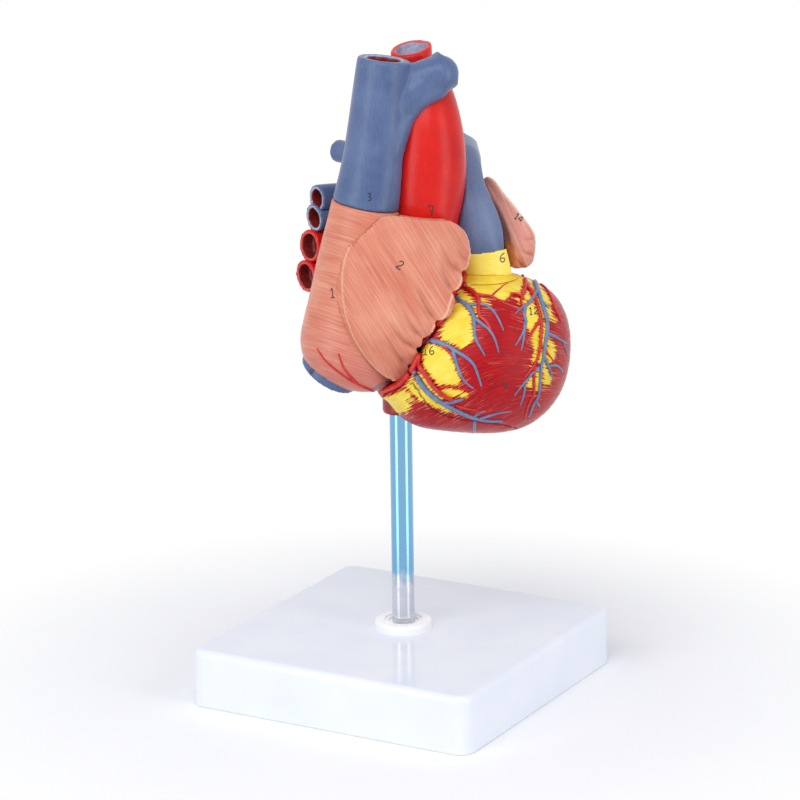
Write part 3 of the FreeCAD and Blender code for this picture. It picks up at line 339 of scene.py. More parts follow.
def painted_line(name, dark, light):
    """Thick enamel laid on with a fine brush, glossier than what it lies on."""
    return even_finish(name, dark, light, 2.5, 0.5, 0.00004, Roughness=0.3)


def valve_vinyl():
    """Cream leaflets with a faint fibrous streak."""
    return even_finish("valve_vinyl", "#e3c9a4", "#efdcbd", (0.5, 0.5, 3), None, 0.00004, Roughness=0.38)


LUMEN_RED = ("#6d1c1a", "#8f2f2b")
LUMEN_GREY = ("#8d8ba4", "#a9a8bb")
BLUE = painted_vessel("vessel_blue", "#4d6088", "#5f7298", "#a7afc4", LUMEN_RED)
TRUNK_BLUE = painted_vessel("trunk_blue", "#596a8e", "#6f7d9f", "#a7afc4", LUMEN_RED)
RED = painted_vessel("vessel_red", "#c20f0b", "#d81a13", "#d0504a", LUMEN_RED)
ARCH_RED = painted_vessel("arch_red", "#c60f0a", "#dc1a12", "#c7535a", LUMEN_GREY)
ATRIUM = painted_atrium("atrium_paint", 16, 0.45, 0.00016)
AURICLE = painted_atrium("auricle_paint", 24, 0.5, 0.00026)
PALE_AURICLE = painted_atrium("left_auricle_paint", 24, 0.5, 0.00026, "#dc8b7c", "#e8a595")
VENTRICLE = painted_ventricle()
FAT = painted_fat()
ARTERY_LINE = painted_line("coronary_red", "#b80d10", "#d4201b")
VEIN_LINE = painted_line("coronary_blue", "#5b7297", "#6f86aa")
INK = painted_line("number_ink", "#141214", "#1f1c1e")
VALVE = valve_vinyl()
PAPILLARY = painted_line("papillary_paint", "#a5463f", "#bd5c52")


# ---- arithmetic on point clouds


def lattice(cells, seed):
    """A fixed pseudo-random value in 0..1 for each whole-number cell."""
    mixed = np.sin(cells @ np.array([127.1, 311.7, 74.7]) + seed * 19.19) * 43758.5453
    return mixed - np.floor(mixed)


def wander(points, seed=0):
    """Smooth noise from -1 to 1 whose features are one unit wide."""
    cell = np.floor(points)
    share = points - cell
    share = share * share * (3 - 2 * share)
    total = np.zeros(len(points))
    for corner in np.ndindex(2, 2, 2):
        weight = np.prod(np.where(corner, share, 1 - share), axis=1)
        total += weight * lattice(cell + corner, seed)
    return total * 2 - 1


def nearness(points, centres, radii):
    """1 at a centre, 0 at its radius and less beyond, for the strongest centre."""
    best = np.full(len(points), -9.0)
    for centre, radius in zip(centres, radii):
        best = np.maximum(best, 1 - np.linalg.norm(points - centre, axis=1) / radius)
    return best


def soft_step(values, low, high):
    share = np.clip((values - low) / (high - low), 0, 1)
    return share * share * (3 - 2 * share)


# ---- skins over the CAD castings


class Skin:
    """A remeshed copy of one or more CAD castings, with soft edges, masks and relief."""

    def __init__(self, name, nodes, body, voxel=0.8, rounds=3, webs=(), balls=()):
        self.name = name
        self.body = body
        raw = join_nodes(nodes, webs, balls)
        self.mesh = remeshed(name, raw, voxel * MM)
        self.points = read_points(self.mesh)
        self.relax(rounds)
        self.object = placed(name, self.mesh)
        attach(self.object, body)
        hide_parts(*nodes)
        self.write()

    def relax(self, rounds):
        """Moves every point half way to its neighbours' middle, a few times over."""
        edges = np.empty(len(self.mesh.edges) * 2, np.int64)
        self.mesh.edges.foreach_get("vertices", edges)
        first, second = edges.reshape(-1, 2).T
        ends = np.concatenate([first, second])
        others = np.concatenate([second, first])
        count = np.bincount(ends, minlength=len(self.points))[:, None]
        for _ in range(rounds):
            sums = [np.bincount(ends, self.points[others, k], len(self.points)) for k in range(3)]
            middle = np.stack(sums, 1) / np.maximum(count, 1)
            self.points += (middle - self.points) * 0.5

    def write(self):
        """Puts the points back into the mesh and reads its normals anew."""
        self.mesh.vertices.foreach_set("co", self.points.ravel())
        self.mesh.update()
        normals = np.empty(len(self.points) * 3)
        self.mesh.vertices.foreach_get("normal", normals)
        self.normals = normals.reshape(-1, 3)
        self.tree = None

    def raise_by(self, heights):
        """Moves each point out along its normal, by metres."""
        self.points += self.normals * heights[:, None]
        self.write()

    def set_mask(self, name, values):
        layer = self.mesh.attributes.new(name, "FLOAT", "POINT")
        layer.data.foreach_set("value", values.astype(np.float32))

    def set_fibre(self, coordinates):
        layer = self.mesh.attributes.new("fibre", "FLOAT_VECTOR", "POINT")
        layer.data.foreach_set("vector", coordinates.astype(np.float32).ravel())

    def paint(self, material):
        self.mesh.materials.clear()
        self.mesh.materials.append(material)
        self.mesh.shade_smooth()

    def surface(self):
        """A tree for casts, made when first needed."""
        if self.tree is None:
            mesh = bmesh.new()
            mesh.from_mesh(self.mesh)
            self.tree = BVHTree.FromBMesh(mesh)
            mesh.free()
        return self.tree


def join_nodes(nodes, webs=(), balls=()):
    """The castings as one mesh, with balls that fill a crotch: webs by pixel, balls by place (mm)."""
    joined = bmesh.new()
    for node in nodes:
        joined.from_mesh(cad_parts[node].data)
        if node == "aorta":
            round_arch(joined)
    tree = BVHTree.FromBMesh(joined)
    fillings = [(heart_point(x, y, z), radius) for x, y, z, radius in balls]
    for x, y, radius, sunk in webs:
        place = tree.ray_cast(eye, sight(x, y))[0]
        if place is not None:
            fillings.append((place + sight(x, y) * (radius + sunk) * MM, radius))
    for middle, radius in fillings:
        spot = Matrix.Translation(middle)
        bmesh.ops.create_icosphere(joined, subdivisions=3, radius=radius * MM, matrix=spot)
    mesh = bpy.data.meshes.new("joined")
    joined.to_mesh(mesh)
    joined.free()
    return mesh


def ring_of(mesh, centre, side, across, out, up, count):
    """Points round a centre, on an oval given by its two directions and half widths."""
    ring = []
    for k in range(count):
        turn = 2 * math.pi * k / count
        spoke = side * (math.cos(turn) * across) + out * (math.sin(turn) * up)
        ring.append(mesh.verts.new(centre + spoke))
    return ring


def close_tube(mesh, rings):
    """Faces between the rings and over both ends."""
    for ring, following in zip(rings, rings[1:]):
        for k in range(len(ring)):
            j = (k + 1) % len(ring)
            mesh.faces.new((ring[k], ring[j], following[j], following[k]))
    mesh.faces.new(rings[0][::-1])
    mesh.faces.new(rings[-1])

# The arch and its descending end: middle and radius of each section in the heart's axes (mm).
ARCH_SECTIONS = [
    (11, -7, 130, 14.2), (14.5, 1, 142.5, 12.5), (20, 12, 145.5, 11.5), (26, 23, 137, 11.0),
    (28.6, 28.5, 124, 10.0), (29, 30, 113, 9.5),
]
ARCH_CUT = 11  # behind this the casting gives way to the swept arch (mm)
ARCH_HOLE = 6.9  # radius of the hollow in its end (mm)
ARCH_RECESS = 6  # depth of that hollow (mm)
ARCH_FLANK = (0.87, -0.5, 0)  # the way square to the plane that the arch bends in
ARCH_SIDES = 40  # points round the tube


def round_arch(joined):
    """Takes the casting's back off and adds the arch as one even tube with a hollow end."""
    bmesh.ops.remove_doubles(joined, verts=joined.verts, dist=1e-6)
    parts = joined.verts[:] + joined.edges[:] + joined.faces[:]
    cut, way = heart_point(0, ARCH_CUT, 0), heart_way(0, 1, 0)
    bmesh.ops.bisect_plane(joined, geom=parts, plane_co=cut, plane_no=way, clear_outer=True)
    bmesh.ops.holes_fill(joined, edges=[edge for edge in joined.edges if edge.is_boundary])
    stations = even_steps(ARCH_SECTIONS, 1.0)
    places = [heart_point(*station[:3]) for station in stations]
    last = len(places) - 1
    order = [(i, stations[i][3]) for i in range(last + 1)]
    order += [(i, ARCH_HOLE) for i in range(last, last - ARCH_RECESS, -1)]
    rings = []
    for i, radius in order:
        along = (places[min(i + 1, last)] - places[max(i - 1, 0)]).normalized()
        side = along.cross(heart_way(*ARCH_FLANK)).normalized()
        out = along.cross(side)
        size = radius * MM
        rings.append(ring_of(joined, places[i], side, size, out, size, ARCH_SIDES))
    close_tube(joined, rings)


def remeshed(name, mesh, voxel):
    """The mesh rebuilt on an even grid."""
    carrier = placed("carrier", mesh)
    modifier = carrier.modifiers.new("even", "REMESH")
    modifier.mode = "VOXEL"
    modifier.voxel_size = voxel
    even = bpy.data.meshes.new_from_object(carrier.evaluated_get(bpy.context.evaluated_depsgraph_get()))
    even.name = name
    bpy.data.objects.remove(carrier)
    bpy.data.meshes.remove(mesh)
    return even


def read_points(mesh):
    points = np.empty(len(mesh.vertices) * 3)
    mesh.vertices.foreach_get("co", points)
    return points.reshape(-1, 3)


STUB_MOUTH = (14.8, 7.2, 160.5)  # the brachiocephalic stub's end, in the heart's axes (mm)

# Open ends of the vessels: skin, mouth and outward way in the heart's axes (mm), hole radius.
OPEN_ENDS = [
    ("cava", (-9, -2.8, 158.5), (0.1, -0.08, 1), 7.2),
    ("azygos", (-11.9, 25.8, 115), (0, 1, 0), 3),
    ("inferior_cava", (-28.8, 14.5, 20), (-0.225, 0.52, -0.82), 10.5),
    ("arch", (29, 30, 113), (0, 0.05, -1), ARCH_HOLE),
    ("arch", STUB_MOUTH, (0.03, 0.08, 1), 6.4),
    ("arch", (22, 14.5, 158), (0.08, 0.08, 1), 3),
    ("arch", (28, 22, 155), (0.12, 0.15, 1), 3),
    ("pulmonary", (52, 20, 110), (0.65, 0.76, 0), 6.4),
    ("upper_lobar", (-22, 29, 94.7), (-1, 0.1, 0), 4),
    ("lower_lobar", (-23, 30, 86), (-1, 0.1, -0.05), 4.3),
    ("right_upper_vein", (-24.7, 31.5, 73.5), (-1, 0.05, 0.05), 5.3),
    ("right_lower_vein", (-26.1, 32.6, 59.9), (-1, 0.05, -0.05), 5.3),
    ("left_upper_vein", (47, 36, 79), (1, 0.3, 0.1), 5.3),
    ("left_lower_vein", (47, 36, 62.5), (1, 0.3, -0.1), 5.3),
]


# Millimetres: how far the hollow's paint stays off its edge and how deep it reaches; then the
# rim's depth, the middle of its ring outside the hole, and half the ring's width.
PAINT_GAP, HOLLOW_DEPTH = 0.25, 7.5
RIM_DEPTH, RIM_MIDDLE, RIM_HALF = 0.8, 0.6, 0.7


def mark_open_ends(skin):
    """Masks for the hollow of each open end and for the rim round it."""
    lumen = np.zeros(len(skin.points))
    rim = np.zeros(len(skin.points))
    for name, mouth, way, radius in OPEN_ENDS:
        if name != skin.name.removesuffix("_skin"):
            continue
        axis = np.array(heart_way(*way))
        offset = (skin.points - np.array(heart_point(*mouth))) / MM
        depth = -(offset @ axis)
        across = np.linalg.norm(offset + depth[:, None] * axis, axis=1)
        hollow = (across < radius + PAINT_GAP) & (depth > PAINT_GAP) & (depth < HOLLOW_DEPTH)
        lumen = np.maximum(lumen, hollow)
        edge = (np.abs(depth) < RIM_DEPTH) & (np.abs(across - radius - RIM_MIDDLE) < RIM_HALF)
        rim = np.maximum(rim, edge)
    skin.set_mask("lumen", lumen)
    skin.set_mask("rim", rim)


# ---- the heart's skins

VEIN_NODES = ["superior_vena_cava", "left_brachiocephalic_vein"]
ARCH_NODES = ["aorta", "brachiocephalic_trunk", "left_carotid_artery", "left_subclavian_artery"]
PULMONARY_NODES = ["pulmonary_trunk", "left_pulmonary_artery", "right_pulmonary_artery"]

skins = {}

# Balls that round off the crotch between the two great veins and the end of the left one:
# pixel, radius and depth under the surface in millimetres.
VEIN_WEB = [
    (436, 88, 5.5, 0.6), (430, 91, 5.5, 0.6), (424, 93, 6, 0.6), (418, 97, 6, 0.6),
    (412, 101, 6.5, 0.6), (408, 106, 6.5, 0.6), (404, 112, 6.5, 0.6), (400, 119, 6.5, 0.6),
    (397, 127, 6.5, 0.6), (395, 136, 6, 0.6), (392, 146, 6, 0.6), (440.5, 73.5, 8.0, -1.6),
    (434, 75.5, 8.3, -0.8), (426, 78.5, 8.5, -0.2), (417, 82, 8.5, 0.2),
]


def slant_end(skin, mouth, reach, lean, sideways, drop):
    """Slopes a vessel's end towards the front, as if it had been cut at a slant."""
    offset = (skin.points - np.array(heart_point(*mouth))) / MM
    front = np.array((-ahead.x, -ahead.y, 0)) / math.hypot(ahead.x, ahead.y)
    across = np.hypot(offset[:, 0], offset[:, 1])
    share = soft_step(offset[:, 2], -12, -1) * (1 - soft_step(across, reach, reach + 3))
    fall = lean * (offset @ front) - sideways * (offset @ np.array(right)) + drop
    skin.points[:, 2] -= share * fall * MM
    skin.write()


def make_vessel_skins():
    """Blue veins and pulmonary arteries, red arteries and pulmonary veins."""
    plan = [
        ("cava", VEIN_NODES, BLUE, "vein_blue", 10),
        ("azygos", ["azygos_vein"], BLUE, "vein_blue", 2),
        ("inferior_cava", ["inferior_vena_cava"], BLUE, "vein_blue", 2),
        ("pulmonary", PULMONARY_NODES, TRUNK_BLUE, "vein_blue", 4),
        ("upper_lobar", ["upper_lobar_artery"], BLUE, "vein_blue", 2),
        ("lower_lobar", ["lower_lobar_artery"], BLUE, "vein_blue", 2),
        ("arch", ARCH_NODES, ARCH_RED, "artery_red", 3),
    ]
    for vein in ("right_upper", "right_lower", "left_upper", "left_lower"):
        plan.append((f"{vein}_vein", [f"{vein}_pulmonary_vein"], RED, "artery_red", 2))
    for name, nodes, material, slot, rounds in plan:
        webs = VEIN_WEB if name == "cava" else ()
        skin = Skin(f"{name}_skin", nodes, "heart", 0.7, rounds, webs)
        mark_open_ends(skin)
        skin.paint(material)
        skins[name] = skin
    slant_end(skins["arch"], STUB_MOUTH, reach=9.5, lean=0.3, sideways=0.13, drop=1.2)
    socket = Skin("socket_skin", ["rod_socket"], "heart", 0.6, 10)
    socket.paint(painted_line("socket_paint", "#8e1a20", "#a3242a"))
    ring = Skin("ring_skin", ["pulmonary_ring"], "heart", 0.5, 1)
    ring.paint(FAT)
    skins["ring"] = ring


def fibre_axes(line, bend=0.0):
    """A function from points to millimetres along a line, across it and in depth, as the camera sees it."""
    along = Vector(line).normalized()
    across = along.cross(ahead).normalized()
    axes = np.array([along, across, along.cross(across)]).T / MM
    middle = np.array(heart_point(*CENTRE))

    def measure(points):
        place = (points - middle) @ axes
        place[:, 1] += bend * np.maximum(place[:, 0], 0) ** 2
        return place

    return measure


CENTRE = (24.6, -23.5, 26)  # middle of the ventricles, in the heart's axes


def screen_way(across, up):
    """A direction that runs across and up as the camera sees it."""
    return (level * across + Vector((0, 0, 1)) * up).normalized()

# The neck of plaster from the left atrium down over the mitral ring's edge: the ring's middle and
# axis in the heart's axes, then the height, reach and radius of each row of balls (mm).
MITRAL = (18.07, 7.25, 43.8)
MITRAL_AXIS = (-0.1725, 0.838, 0.5176)
NECK_ROWS = [(0.6, 11.4, 3.4), (3.0, 11.2, 3.8), (5.5, 10.8, 4.4), (8.5, 10.0, 5.2), (12.0, 9.0, 6.2)]


def neck_balls(count=44):
    """Places and radii of balls that overlap to a neck."""
    axis = Vector(MITRAL_AXIS).normalized()
    side = axis.orthogonal().normalized()
    turns = [Matrix.Rotation(2 * math.pi * k / count, 3, axis) for k in range(count)]
    return [
        (*(Vector(MITRAL) + axis * height + turn @ side * reach), radius)
        for height, reach, radius in NECK_ROWS
        for turn in turns
    ]


def make_atrium_skins():
    plan = [
        ("right_atrium", ["right_atrium"], ATRIUM, screen_way(0.93, -0.33), 0.6),
        ("left_atrium", ["left_atrium"], ATRIUM, screen_way(0.9, -0.3), 0.8),
        ("right_auricle", ["right_auricle"], AURICLE, screen_way(0.5, -0.86), 0.5),
        ("left_auricle", ["left_auricle"], PALE_AURICLE, screen_way(0.4, -0.91), 0.5),
    ]
    for name, nodes, material, line, voxel in plan:
        balls = neck_balls() if name == "left_atrium" else ()
        rounds = 6 if balls else 2
        skin = Skin(f"{name}_skin", nodes, "heart", voxel, rounds, (), balls)
        skin.set_fibre(fibre_axes(line)(skin.points))
        skin.paint(material)
        skins[name] = skin

# The left auricle's lower and right border up to its tip, as pixels.
LEFT_AURICLE_EDGE = [
    (510, 271), (520, 270.5), (528, 268.5), (534, 263), (536.5, 256), (537.5, 245), (535, 236), (530, 227),
    (524, 219), (517, 210), (510, 201), (503, 193), (498, 186), (493, 180), (486, 176),
]

# The right border of the pulmonary trunk and of the band below it.
TRUNK_EDGE = [
    (458, 126), (465, 133.5), (473, 138), (479, 145), (481, 152), (481, 162), (484, 180), (488, 191),
    (493, 202), (498, 214), (502, 227), (503.5, 240), (504, 252), (504, 264),
]
RING_EDGE = [(504, 240), (507, 252), (509.5, 262), (512, 275), (513, 280)]


def trim(name, border, rounds=2):
    """Brings what bulges past a piece's real border back to it, in the plane of the picture."""
    skin = skins[name]
    places = pixel_of(skin.points)
    edge = np.array(even_steps(border, 1.0))
    past = beyond_edge(places, border)
    for i in np.nonzero(past > 0)[0]:
        k = int(((edge - places[i]) ** 2).sum(1).argmin())
        if 0 < k < len(edge) - 1:
            shift = (edge[k] - places[i]) * PIXEL
            skin.points[i] += np.array(right) * shift[0] - np.array(upward) * shift[1]
    skin.relax(rounds)
    skin.write()

# Balls beside the narrow gaps under the right auricle's lobes, in the same form as VEIN_WEB.
LOBE_WEB = {
    "front_wall": [(422.5, 350.5, 3.2, 0.2), (416.5, 371, 3.2, 0.2), (440.5, 321, 3.2, 0.2),
                   (420, 361, 3.2, 0.2)],
    "ventricle_back": [(416, 347, 3.4, 0.2), (408, 365, 3.4, 0.2), (412, 357, 3.4, 0.2)],
}


def make_ventricle_skins():
    for name, body, voxel in (("ventricle_back", "heart", 0.6), ("front_wall", "front_wall", 0.45)):
        skin = Skin(f"{name}_skin", [name], body, voxel, 2, LOBE_WEB[name])
        skin.paint(VENTRICLE)
        skins[name] = skin


# ---- points on the skins


def hits(x, y, names):
    """The nearest named skin behind a pixel: (distance, name, point, normal)."""
    found = []
    way = sight(x, y)
    for name in names:
        place, normal, _, reach = skins[name].surface().ray_cast(eye, way)
        if place is not None:
            found.append((reach, name, place, normal))
    return min(found, key=lambda hit: hit[0]) if found else None


def even_steps(points, step):
    """Points along a smooth line through the given ones, about a step apart."""
    points = [np.array(p, float) for p in points]
    padded = [2 * points[0] - points[1]] + points + [2 * points[-1] - points[-2]]
    line = []
    for i in range(1, len(padded) - 2):
        a, b, c, d = padded[i - 1 : i + 3]
        count = max(1, round(float(np.linalg.norm(c - b)) / step))
        for k in range(count):
            t = k / count
            turn = 2 * b + (c - a) * t + (2 * a - 5 * b + 4 * c - d) * t * t
            line.append(0.5 * (turn + (3 * b - a - 3 * c + d) * t**3))
    line.append(points[-1])
    return line


# ---- coronary vessels

VENTRICLES = ("front_wall", "ventricle_back")
RIGHT_SIDE = ("front_wall", "ventricle_back", "right_atrium", "inferior_cava")

# Arteries as pixels, start and end widths in pixels, and the castings that they lie on where these
# aren't the ventricles.
ARTERIES = [
    ([(463, 283), (465, 287), (471, 291), (476, 295), (478.6, 300), (478.6, 306), (478.5, 312),
      (481.4, 318), (485.7, 321), (489, 326), (492, 334)], 5.5, 2.6),
    ([(476, 294.5), (484, 295.7), (491.4, 296.4), (497, 299), (503, 302)], 3.6, 1.6),
    ([(491.4, 296.4), (495.7, 292), (500.7, 288), (503.6, 285), (508.6, 283)], 2.0, 1.0),
    # right marginal artery
    ([(438, 388.6), (445.7, 386.4), (454.3, 387), (463, 389.3), (471.4, 390)], 2.6, 1.2),
    ([(456, 405), (461, 407), (468.6, 409), (478.6, 410.5)], 3.0, 1.2),
    ([(436, 338), (442, 345), (448, 350.5), (453, 356), (456, 364), (460, 374), (466, 381)], 3.0, 1.4),
    # anterior interventricular artery and its branches
    ([(513, 269), (518.6, 274), (524, 276.5), (529.5, 276)], 4.6, 3.6),
    ([(524.5, 279), (526.5, 285), (531.7, 292), (535.5, 300), (538.8, 309), (541, 318.5), (541, 327),
      (540.5, 340), (539.5, 350), (537, 358), (534, 365), (529, 372), (523, 380)], 3.8, 2.2),
    ([(541, 320), (537.2, 324.4), (532.3, 332), (529, 338), (526, 345)], 3.6, 1.4),
    ([(534.5, 366), (533.6, 376), (533.6, 392), (530, 400.7), (526, 412), (524, 421)], 3.2, 1.6),
    ([(524, 275), (525.2, 282), (525, 288), (522.5, 294), (521, 299), (521, 305)], 5.0, 2.2),
    ([(522, 296), (518.2, 295), (513.3, 293), (509, 298.4), (504, 302)], 2.8, 1.8),
    ([(533, 276), (540, 283.7), (545.3, 288), (549.6, 294.6), (553, 302.7), (556.7, 312),
      (561, 322)], 2.2, 3.6),
    ([(541, 345), (546, 352), (552, 359), (557, 368)], 2.2, 1.2),
    # branches on the right atrium's underside
    ([(317, 348), (322, 356), (327, 362), (340, 373), (352, 381), (364, 387),
      (374, 391)], 1.6, 3.2, *RIGHT_SIDE),
    ([(338.5, 353), (341, 361), (344, 368), (352, 378), (358, 384)], 1.4, 3.0, *RIGHT_SIDE),
]

# The right coronary artery, in and out from under the auricle's lobes, in the same form.
GROOVE_ARTERIES = [
    ([(465, 272), (463.5, 279), (459, 286), (453, 294), (448, 304), (445, 314), (439.5, 322), (434, 329),
      (430, 335), (424.5, 341), (421, 350), (417.5, 360), (412, 371), (405, 379.5), (399, 385), (389, 389.5),
      (380, 392), (371, 393.5)], 6.4, 7.4, *RIGHT_SIDE),
    ([(418, 361), (420, 368), (424, 373), (428, 379), (433, 386), (438, 391), (445.7, 397), (453, 400)],
     5.0, 3.6),
]
GROOVE_LIFT = 1.3  # millimetres by which that artery bridges its groove
ARTERY_GIRTH, VEIN_GIRTH = 1.15, 1.25  # start widths against the measured ones

# Veins in the same form.
VEINS = [
    ([(453, 295), (460, 300.7), (465.7, 304.3), (473, 305), (480, 304.3), (487, 305.7), (493, 310.7),
      (497, 316.4), (500.7, 323.6), (503.6, 331)], 4.0, 1.3),
    ([(465.7, 304.3), (471, 310.5), (474, 318), (474.3, 324), (475, 335), (477, 342), (481.4, 349.3),
      (485, 356)], 4.0, 1.6),
    ([(474.3, 318), (481.4, 323.6), (488.6, 329.3), (493.6, 336.4), (496.4, 343.6), (498.8, 353)], 3.2, 1.3),
    ([(426, 339.5), (437, 342), (445.7, 345), (453, 349.3), (458.6, 353), (465.7, 357), (473, 363.6),
      (476.4, 370.7), (479.3, 379.3), (481.6, 387)], 4.4, 1.6),
    ([(453, 350), (455.7, 360.7), (458, 368), (461.4, 376.4), (467, 383.6), (474, 389)], 3.4, 1.4),
    ([(409, 364), (411, 368), (415, 373), (420, 381), (425.7, 389.3), (433, 396.4), (441.4, 402),
      (451.4, 408), (460, 412), (468.6, 415.7), (477, 418.6), (488.6, 420.7), (503, 420.7)], 5.4, 3.2),
    ([(444, 403), (454.3, 401.6), (463.5, 399)], 3.6, 2.6),
    ([(479, 418.5), (488.6, 415.7), (498.6, 413), (512, 411)], 3.0, 1.2),
    ([(473, 417), (480, 413), (486, 411)], 2.2, 1.1),
    ([(474.5, 417), (474.4, 424), (474.3, 432)], 3.2, 3.0),
    # great cardiac vein and its branches
    ([(530.5, 266), (533.6, 276.4), (535, 283.6), (538, 292), (540.7, 300.7), (543.6, 309.3),
      (546.4, 319.3), (547, 329.3), (545.7, 338), (544.3, 348), (543, 358), (540.7, 368), (540, 378),
      (539.3, 388), (538, 396.4), (533, 405), (528.6, 417)], 4.6, 2.4),
    ([(531, 270), (538, 277), (544.3, 282), (551.4, 286)], 4.0, 1.8),
    ([(537, 290.7), (533.6, 296.4), (528.6, 303.6), (521.4, 308), (515, 314)], 3.6, 1.2),
    ([(525, 306), (524.3, 315), (526, 322), (523.6, 330.7), (518.6, 340.7), (515, 346)], 3.0, 1.2),
    ([(524.6, 322), (524.3, 332), (523, 342), (521, 351)], 2.4, 1.1),
    ([(541.4, 300.7), (545.7, 305), (549.3, 310)], 2.6, 1.3),
    ([(546.5, 333), (554.3, 336.4), (561.4, 340.7), (567, 343.6)], 3.2, 1.6),
    ([(563, 341.5), (565.7, 349.3), (568, 356)], 2.0, 1.1),
    ([(543, 356), (547, 363.6), (550, 370.7), (553.6, 381)], 3.0, 1.2),
    ([(548.6, 366), (555.7, 365), (560, 368), (563, 373)], 2.6, 1.2),
    ([(539.5, 367), (533, 372), (527, 379.3), (521.4, 386.4), (514, 396)], 3.0, 1.2),
    ([(525, 385), (523.6, 395), (520, 406)], 2.2, 1.1),
    ([(536, 401), (540, 407)], 2.4, 1.6),
    # the small vein under the auricle's tip
    ([(388, 381), (382, 384), (376, 387.5), (370, 391)], 1.4, 2.6, *RIGHT_SIDE),
]

PIXEL = DISTANCE / FOCAL_PIXELS  # what one pixel spans at the heart


LINE_STEP = 1.6  # pixels between a vessel's points
LINE_BREAK = 4  # mm from one point to the next at which a vessel is split


def traced(pixels, widths, names, lift=0.0):
    """A line of pixels carried onto the castings: runs of (body, [(place, normal, radius)])."""
    steps = even_steps(pixels, LINE_STEP)
    runs = []
    for i, (x, y) in enumerate(steps):
        hit = hits(x, y, names)
        if hit is None:
            continue
        share = i / max(1, len(steps) - 1)
        radius = (widths[0] + (widths[1] - widths[0]) * share) / 2 * PIXEL
        body = skins[hit[1]].body
        apart = runs and (runs[-1][1][-1][0] - hit[2]).length > LINE_BREAK * MM
        if not runs or runs[-1][0] != body or apart:
            runs.append((body, []))
        runs[-1][1].append((hit[2] - sight(x, y) * lift * MM, hit[3], radius))
    return [run for run in runs if len(run[1]) > 1]


def spots_on(name, pixels, step):
    """Where a line of pixels meets one skin: (place, normal) about a step apart."""
    found = [hits(x, y, (name,)) for x, y in even_steps(pixels, step)]
    return [hit[2:] for hit in found if hit]


def smoothed(line, rounds=2):
    """The line's places and normals evened out, with its ends kept."""
    for _ in range(rounds):
        inner = []
        for before, here, after in zip(line, line[1:], line[2:]):
            place = (before[0] + here[0] * 2 + after[0]) / 4
            normal = (before[1] + here[1] * 2 + after[1]).normalized()
            inner.append((place, normal, here[2]))
        line = [line[0]] + inner + [line[-1]]
    return line


CORD_SIDES = 10  # points round a cord


def laid_tube(name, line, body, material, proud=0.45, flat=0.9):
    """A tapering cord half sunk in the skins, with rounded ends."""
    mesh = bmesh.new()
    rings = []
    last = len(line) - 1
    for i, (place, normal, radius) in enumerate(line):
        along = (line[min(i + 1, last)][0] - line[max(i - 1, 0)][0]).normalized()
        side = along.cross(normal).normalized()
        out = side.cross(along).normalized()
        if out.dot(normal) < 0:
            out = -out
        size = radius * (0.35 if i in (0, last) else 1.0)
        centre = place + out * (radius * proud * 0.5)
        rings.append(ring_of(mesh, centre, side, size, out, size * flat, CORD_SIDES))
    close_tube(mesh, rings)
    bmesh.ops.recalc_face_normals(mesh, faces=mesh.faces)
    data = bpy.data.meshes.new(name)
    mesh.to_mesh(data)
    mesh.free()
    data.materials.append(material)
    data.shade_smooth()
    piece = placed(name, data)
    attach(piece, body)

SHORTEST_RUN = 4  # steps; shorter bits of far-side vessels beside the parting are left out
BACK_STEP = 1.2  # mm between their points

# Vessels on the far side, as points near the surface in the heart's axes (mm), with end widths.
BACK_ARTERIES = [
    ([(56, 6, 58), (52, 18, 44), (38, 25, 34), (20, 24, 24), (4, 16, 12)], 2.2, 1.6),
    ([(-2, 2, 8), (12, 6, 2), (26, 2, -3), (40, -6, -8)], 2.2, 1.0),
    ([(57, 0, 46), (64, -6, 28), (66, -12, 12)], 1.6, 0.8),
    ([(44, 24, 34), (54, 16, 18), (58, 6, 4)], 1.5, 0.7),
    ([(24, 24, 22), (36, 18, 8), (46, 8, -4)], 1.5, 0.7),
]
BACK_VEINS = [
    ([(54, 12, 54), (48, 24, 40), (34, 29, 30), (16, 25, 20), (0, 16, 10)], 2.8, 3.6),
    ([(0, 8, 6), (14, 12, 1), (28, 8, -4), (42, 0, -9)], 2.6, 1.2),
    ([(50, 22, 38), (60, 12, 22), (64, 0, 6)], 1.8, 0.8),
    ([(32, 26, 26), (42, 18, 10), (50, 8, -2)], 1.8, 0.8),
]


def trace_back_vessels():
    """Runs of the far-side vessels on the ventricles: (kind, body, line) for each."""
    runs = []
    for kind, paths in (("artery", BACK_ARTERIES), ("vein", BACK_VEINS)):
        for places, start, end in paths:
            steps = even_steps(places, BACK_STEP)
            line = []
            for i, place in enumerate(steps):
                near = heart_point(*place)
                found = [(*skins[name].surface().find_nearest(near), name) for name in VENTRICLES]
                spot, normal, _, _, name = min(found, key=lambda hit: hit[3])
                radius = (start + (end - start) * i / (len(steps) - 1)) / 2 * MM
                line.append((spot, normal, radius, skins[name].body))
            for body, part in groupby(line, key=lambda step: step[3]):
                part = [step[:3] for step in part]
                if len(part) > SHORTEST_RUN:
                    runs.append((kind, body, smoothed(part, 4)))
    return runs


def make_back_vessels():
    for number, (kind, body, line) in enumerate(back_runs):
        material, slot = (ARTERY_LINE, "artery_red") if kind == "artery" else (VEIN_LINE, "vein_blue")
        laid_tube(f"back_{kind}_{number}", line, body, material)


